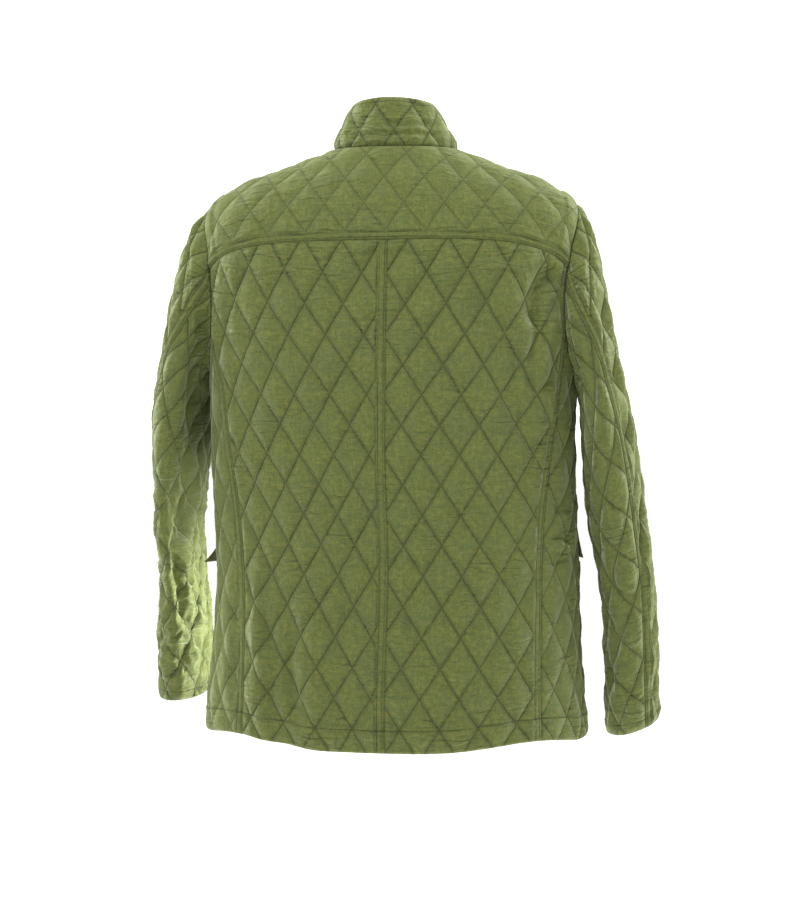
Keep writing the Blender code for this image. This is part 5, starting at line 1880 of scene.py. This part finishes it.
def makeCamera():
    data = bpy.data.cameras.new("camera")
    data.sensor_fit = "VERTICAL"
    data.sensor_width = view["sensor"]
    data.sensor_height = view["sensor"]
    data.lens = view["lens"]
    data.shift_x = view["shiftX"]
    data.shift_y = view["shiftY"]
    camera = bpy.data.objects.new("camera", data)
    a = math.radians(view["turn"])
    x = view["distance"] * math.sin(a)
    y = -view["distance"] * math.cos(a)
    camera.location = (x, y, view["height"])
    camera.rotation_euler = (math.pi / 2, 0.0, a)
    bpy.context.scene.collection.objects.link(camera)
    bpy.context.scene.camera = camera


studio = {
    "floorDrop": 0.55,       # the floor lies this far under the hem
    "floorSide": 30.0,
    "floorColour": (0.93, 0.93, 0.93, 1),
    "floorGlow": 0.35,
    "floorRoughness": 0.9,
    "skyBehind": 1.5,        # the white sky glows behind the jacket and is dimmer before it
    "skyNear": 0.21,
    "skyTurn": (-0.75, 0.35),
    # name, place, aim, size in metres and power in watts
    "lamps": (
        ("keyAbove", (0.3, 1.16, 2.3), (0.0, 0.1, -0.30), 0.9, 57.0),
        ("rimLeft", (2.0, -0.8, 0.3), (0.2, 0.0, -0.35), 1.6, 36.0),
        ("rimRight", (-2.0, -0.8, 0.3), (-0.2, 0.0, -0.35), 1.6, 36.0),
        ("sleeveGlow", (-0.60, -0.40, -0.66), (0.26, 0.0, -0.60), 0.16, 0.76),
    ),
    "glowSpread": 24.0,      # of the last lamp, which reaches the left sleeve only
}


def makeFloor():
    mesh = bpy.data.meshes.new("floor")
    h = studio["floorSide"] / 2
    z = cadLow[2] - studio["floorDrop"]
    mesh.from_pydata([(-h, -h, z), (h, -h, z), (h, h, z), (-h, h, z)], [], [(0, 1, 2, 3)])
    floor = bpy.data.objects.new("floor", mesh)
    made, _, shader = newMaterial("paleFloor")
    shader.inputs["Base Color"].default_value = studio["floorColour"]
    shader.inputs["Emission Strength"].default_value = studio["floorGlow"]
    shader.inputs["Roughness"].default_value = studio["floorRoughness"]
    mesh.materials.append(made)
    bpy.context.scene.collection.objects.link(floor)


def makeSky():
    world = bpy.data.worlds.new("studioWhite")
    world.use_nodes = True
    tree = world.node_tree
    apart = put(tree, "ShaderNodeSeparateXYZ")
    tree.links.new(put(tree, "ShaderNodeTexCoord").outputs["Generated"], apart.inputs[0])
    low, high = studio["skyTurn"]
    glow = between(tree, apart.outputs[1], low, high, studio["skyBehind"], studio["skyNear"])
    seen = put(tree, "ShaderNodeLightPath").outputs["Is Camera Ray"]
    background = tree.nodes["Background"]
    background.inputs["Color"].default_value = (1.0, 1.0, 1.0, 1)
    tree.links.new(maths(tree, "MAXIMUM", glow, seen), background.inputs["Strength"])
    bpy.context.scene.world = world


def makeLamps():
    for name, place, aim, size, power in studio["lamps"]:
        data = bpy.data.lights.new(name, "AREA")
        data.shape = "DISK"
        data.size = size
        data.energy = power
        lamp = bpy.data.objects.new(name, data)
        lamp.location = place
        a = np.array(aim) - np.array(place)
        tilt = math.pi / 2 + math.atan2(a[2], math.hypot(a[0], a[1]))
        lamp.rotation_euler = (tilt, 0.0, math.atan2(a[1], a[0]) - math.pi / 2)
        bpy.context.scene.collection.objects.link(lamp)
        if name == "sleeveGlow":
            sleeve = bpy.data.collections.new("leftSleeve")
            for piece in bpy.data.objects:
                if "sleeve" in piece.name and "left" in piece.name:
                    sleeve.objects.link(piece)
            data.spread = math.radians(studio["glowSpread"])
            lamp.light_linking.receiver_collection = sleeve
            lamp.light_linking.blocker_collection = sleeve


makeCamera()
makeFloor()
makeSky()
makeLamps()
bpy.context.scene.view_settings.view_transform = "Standard"
print("jacket: camera and studio made")
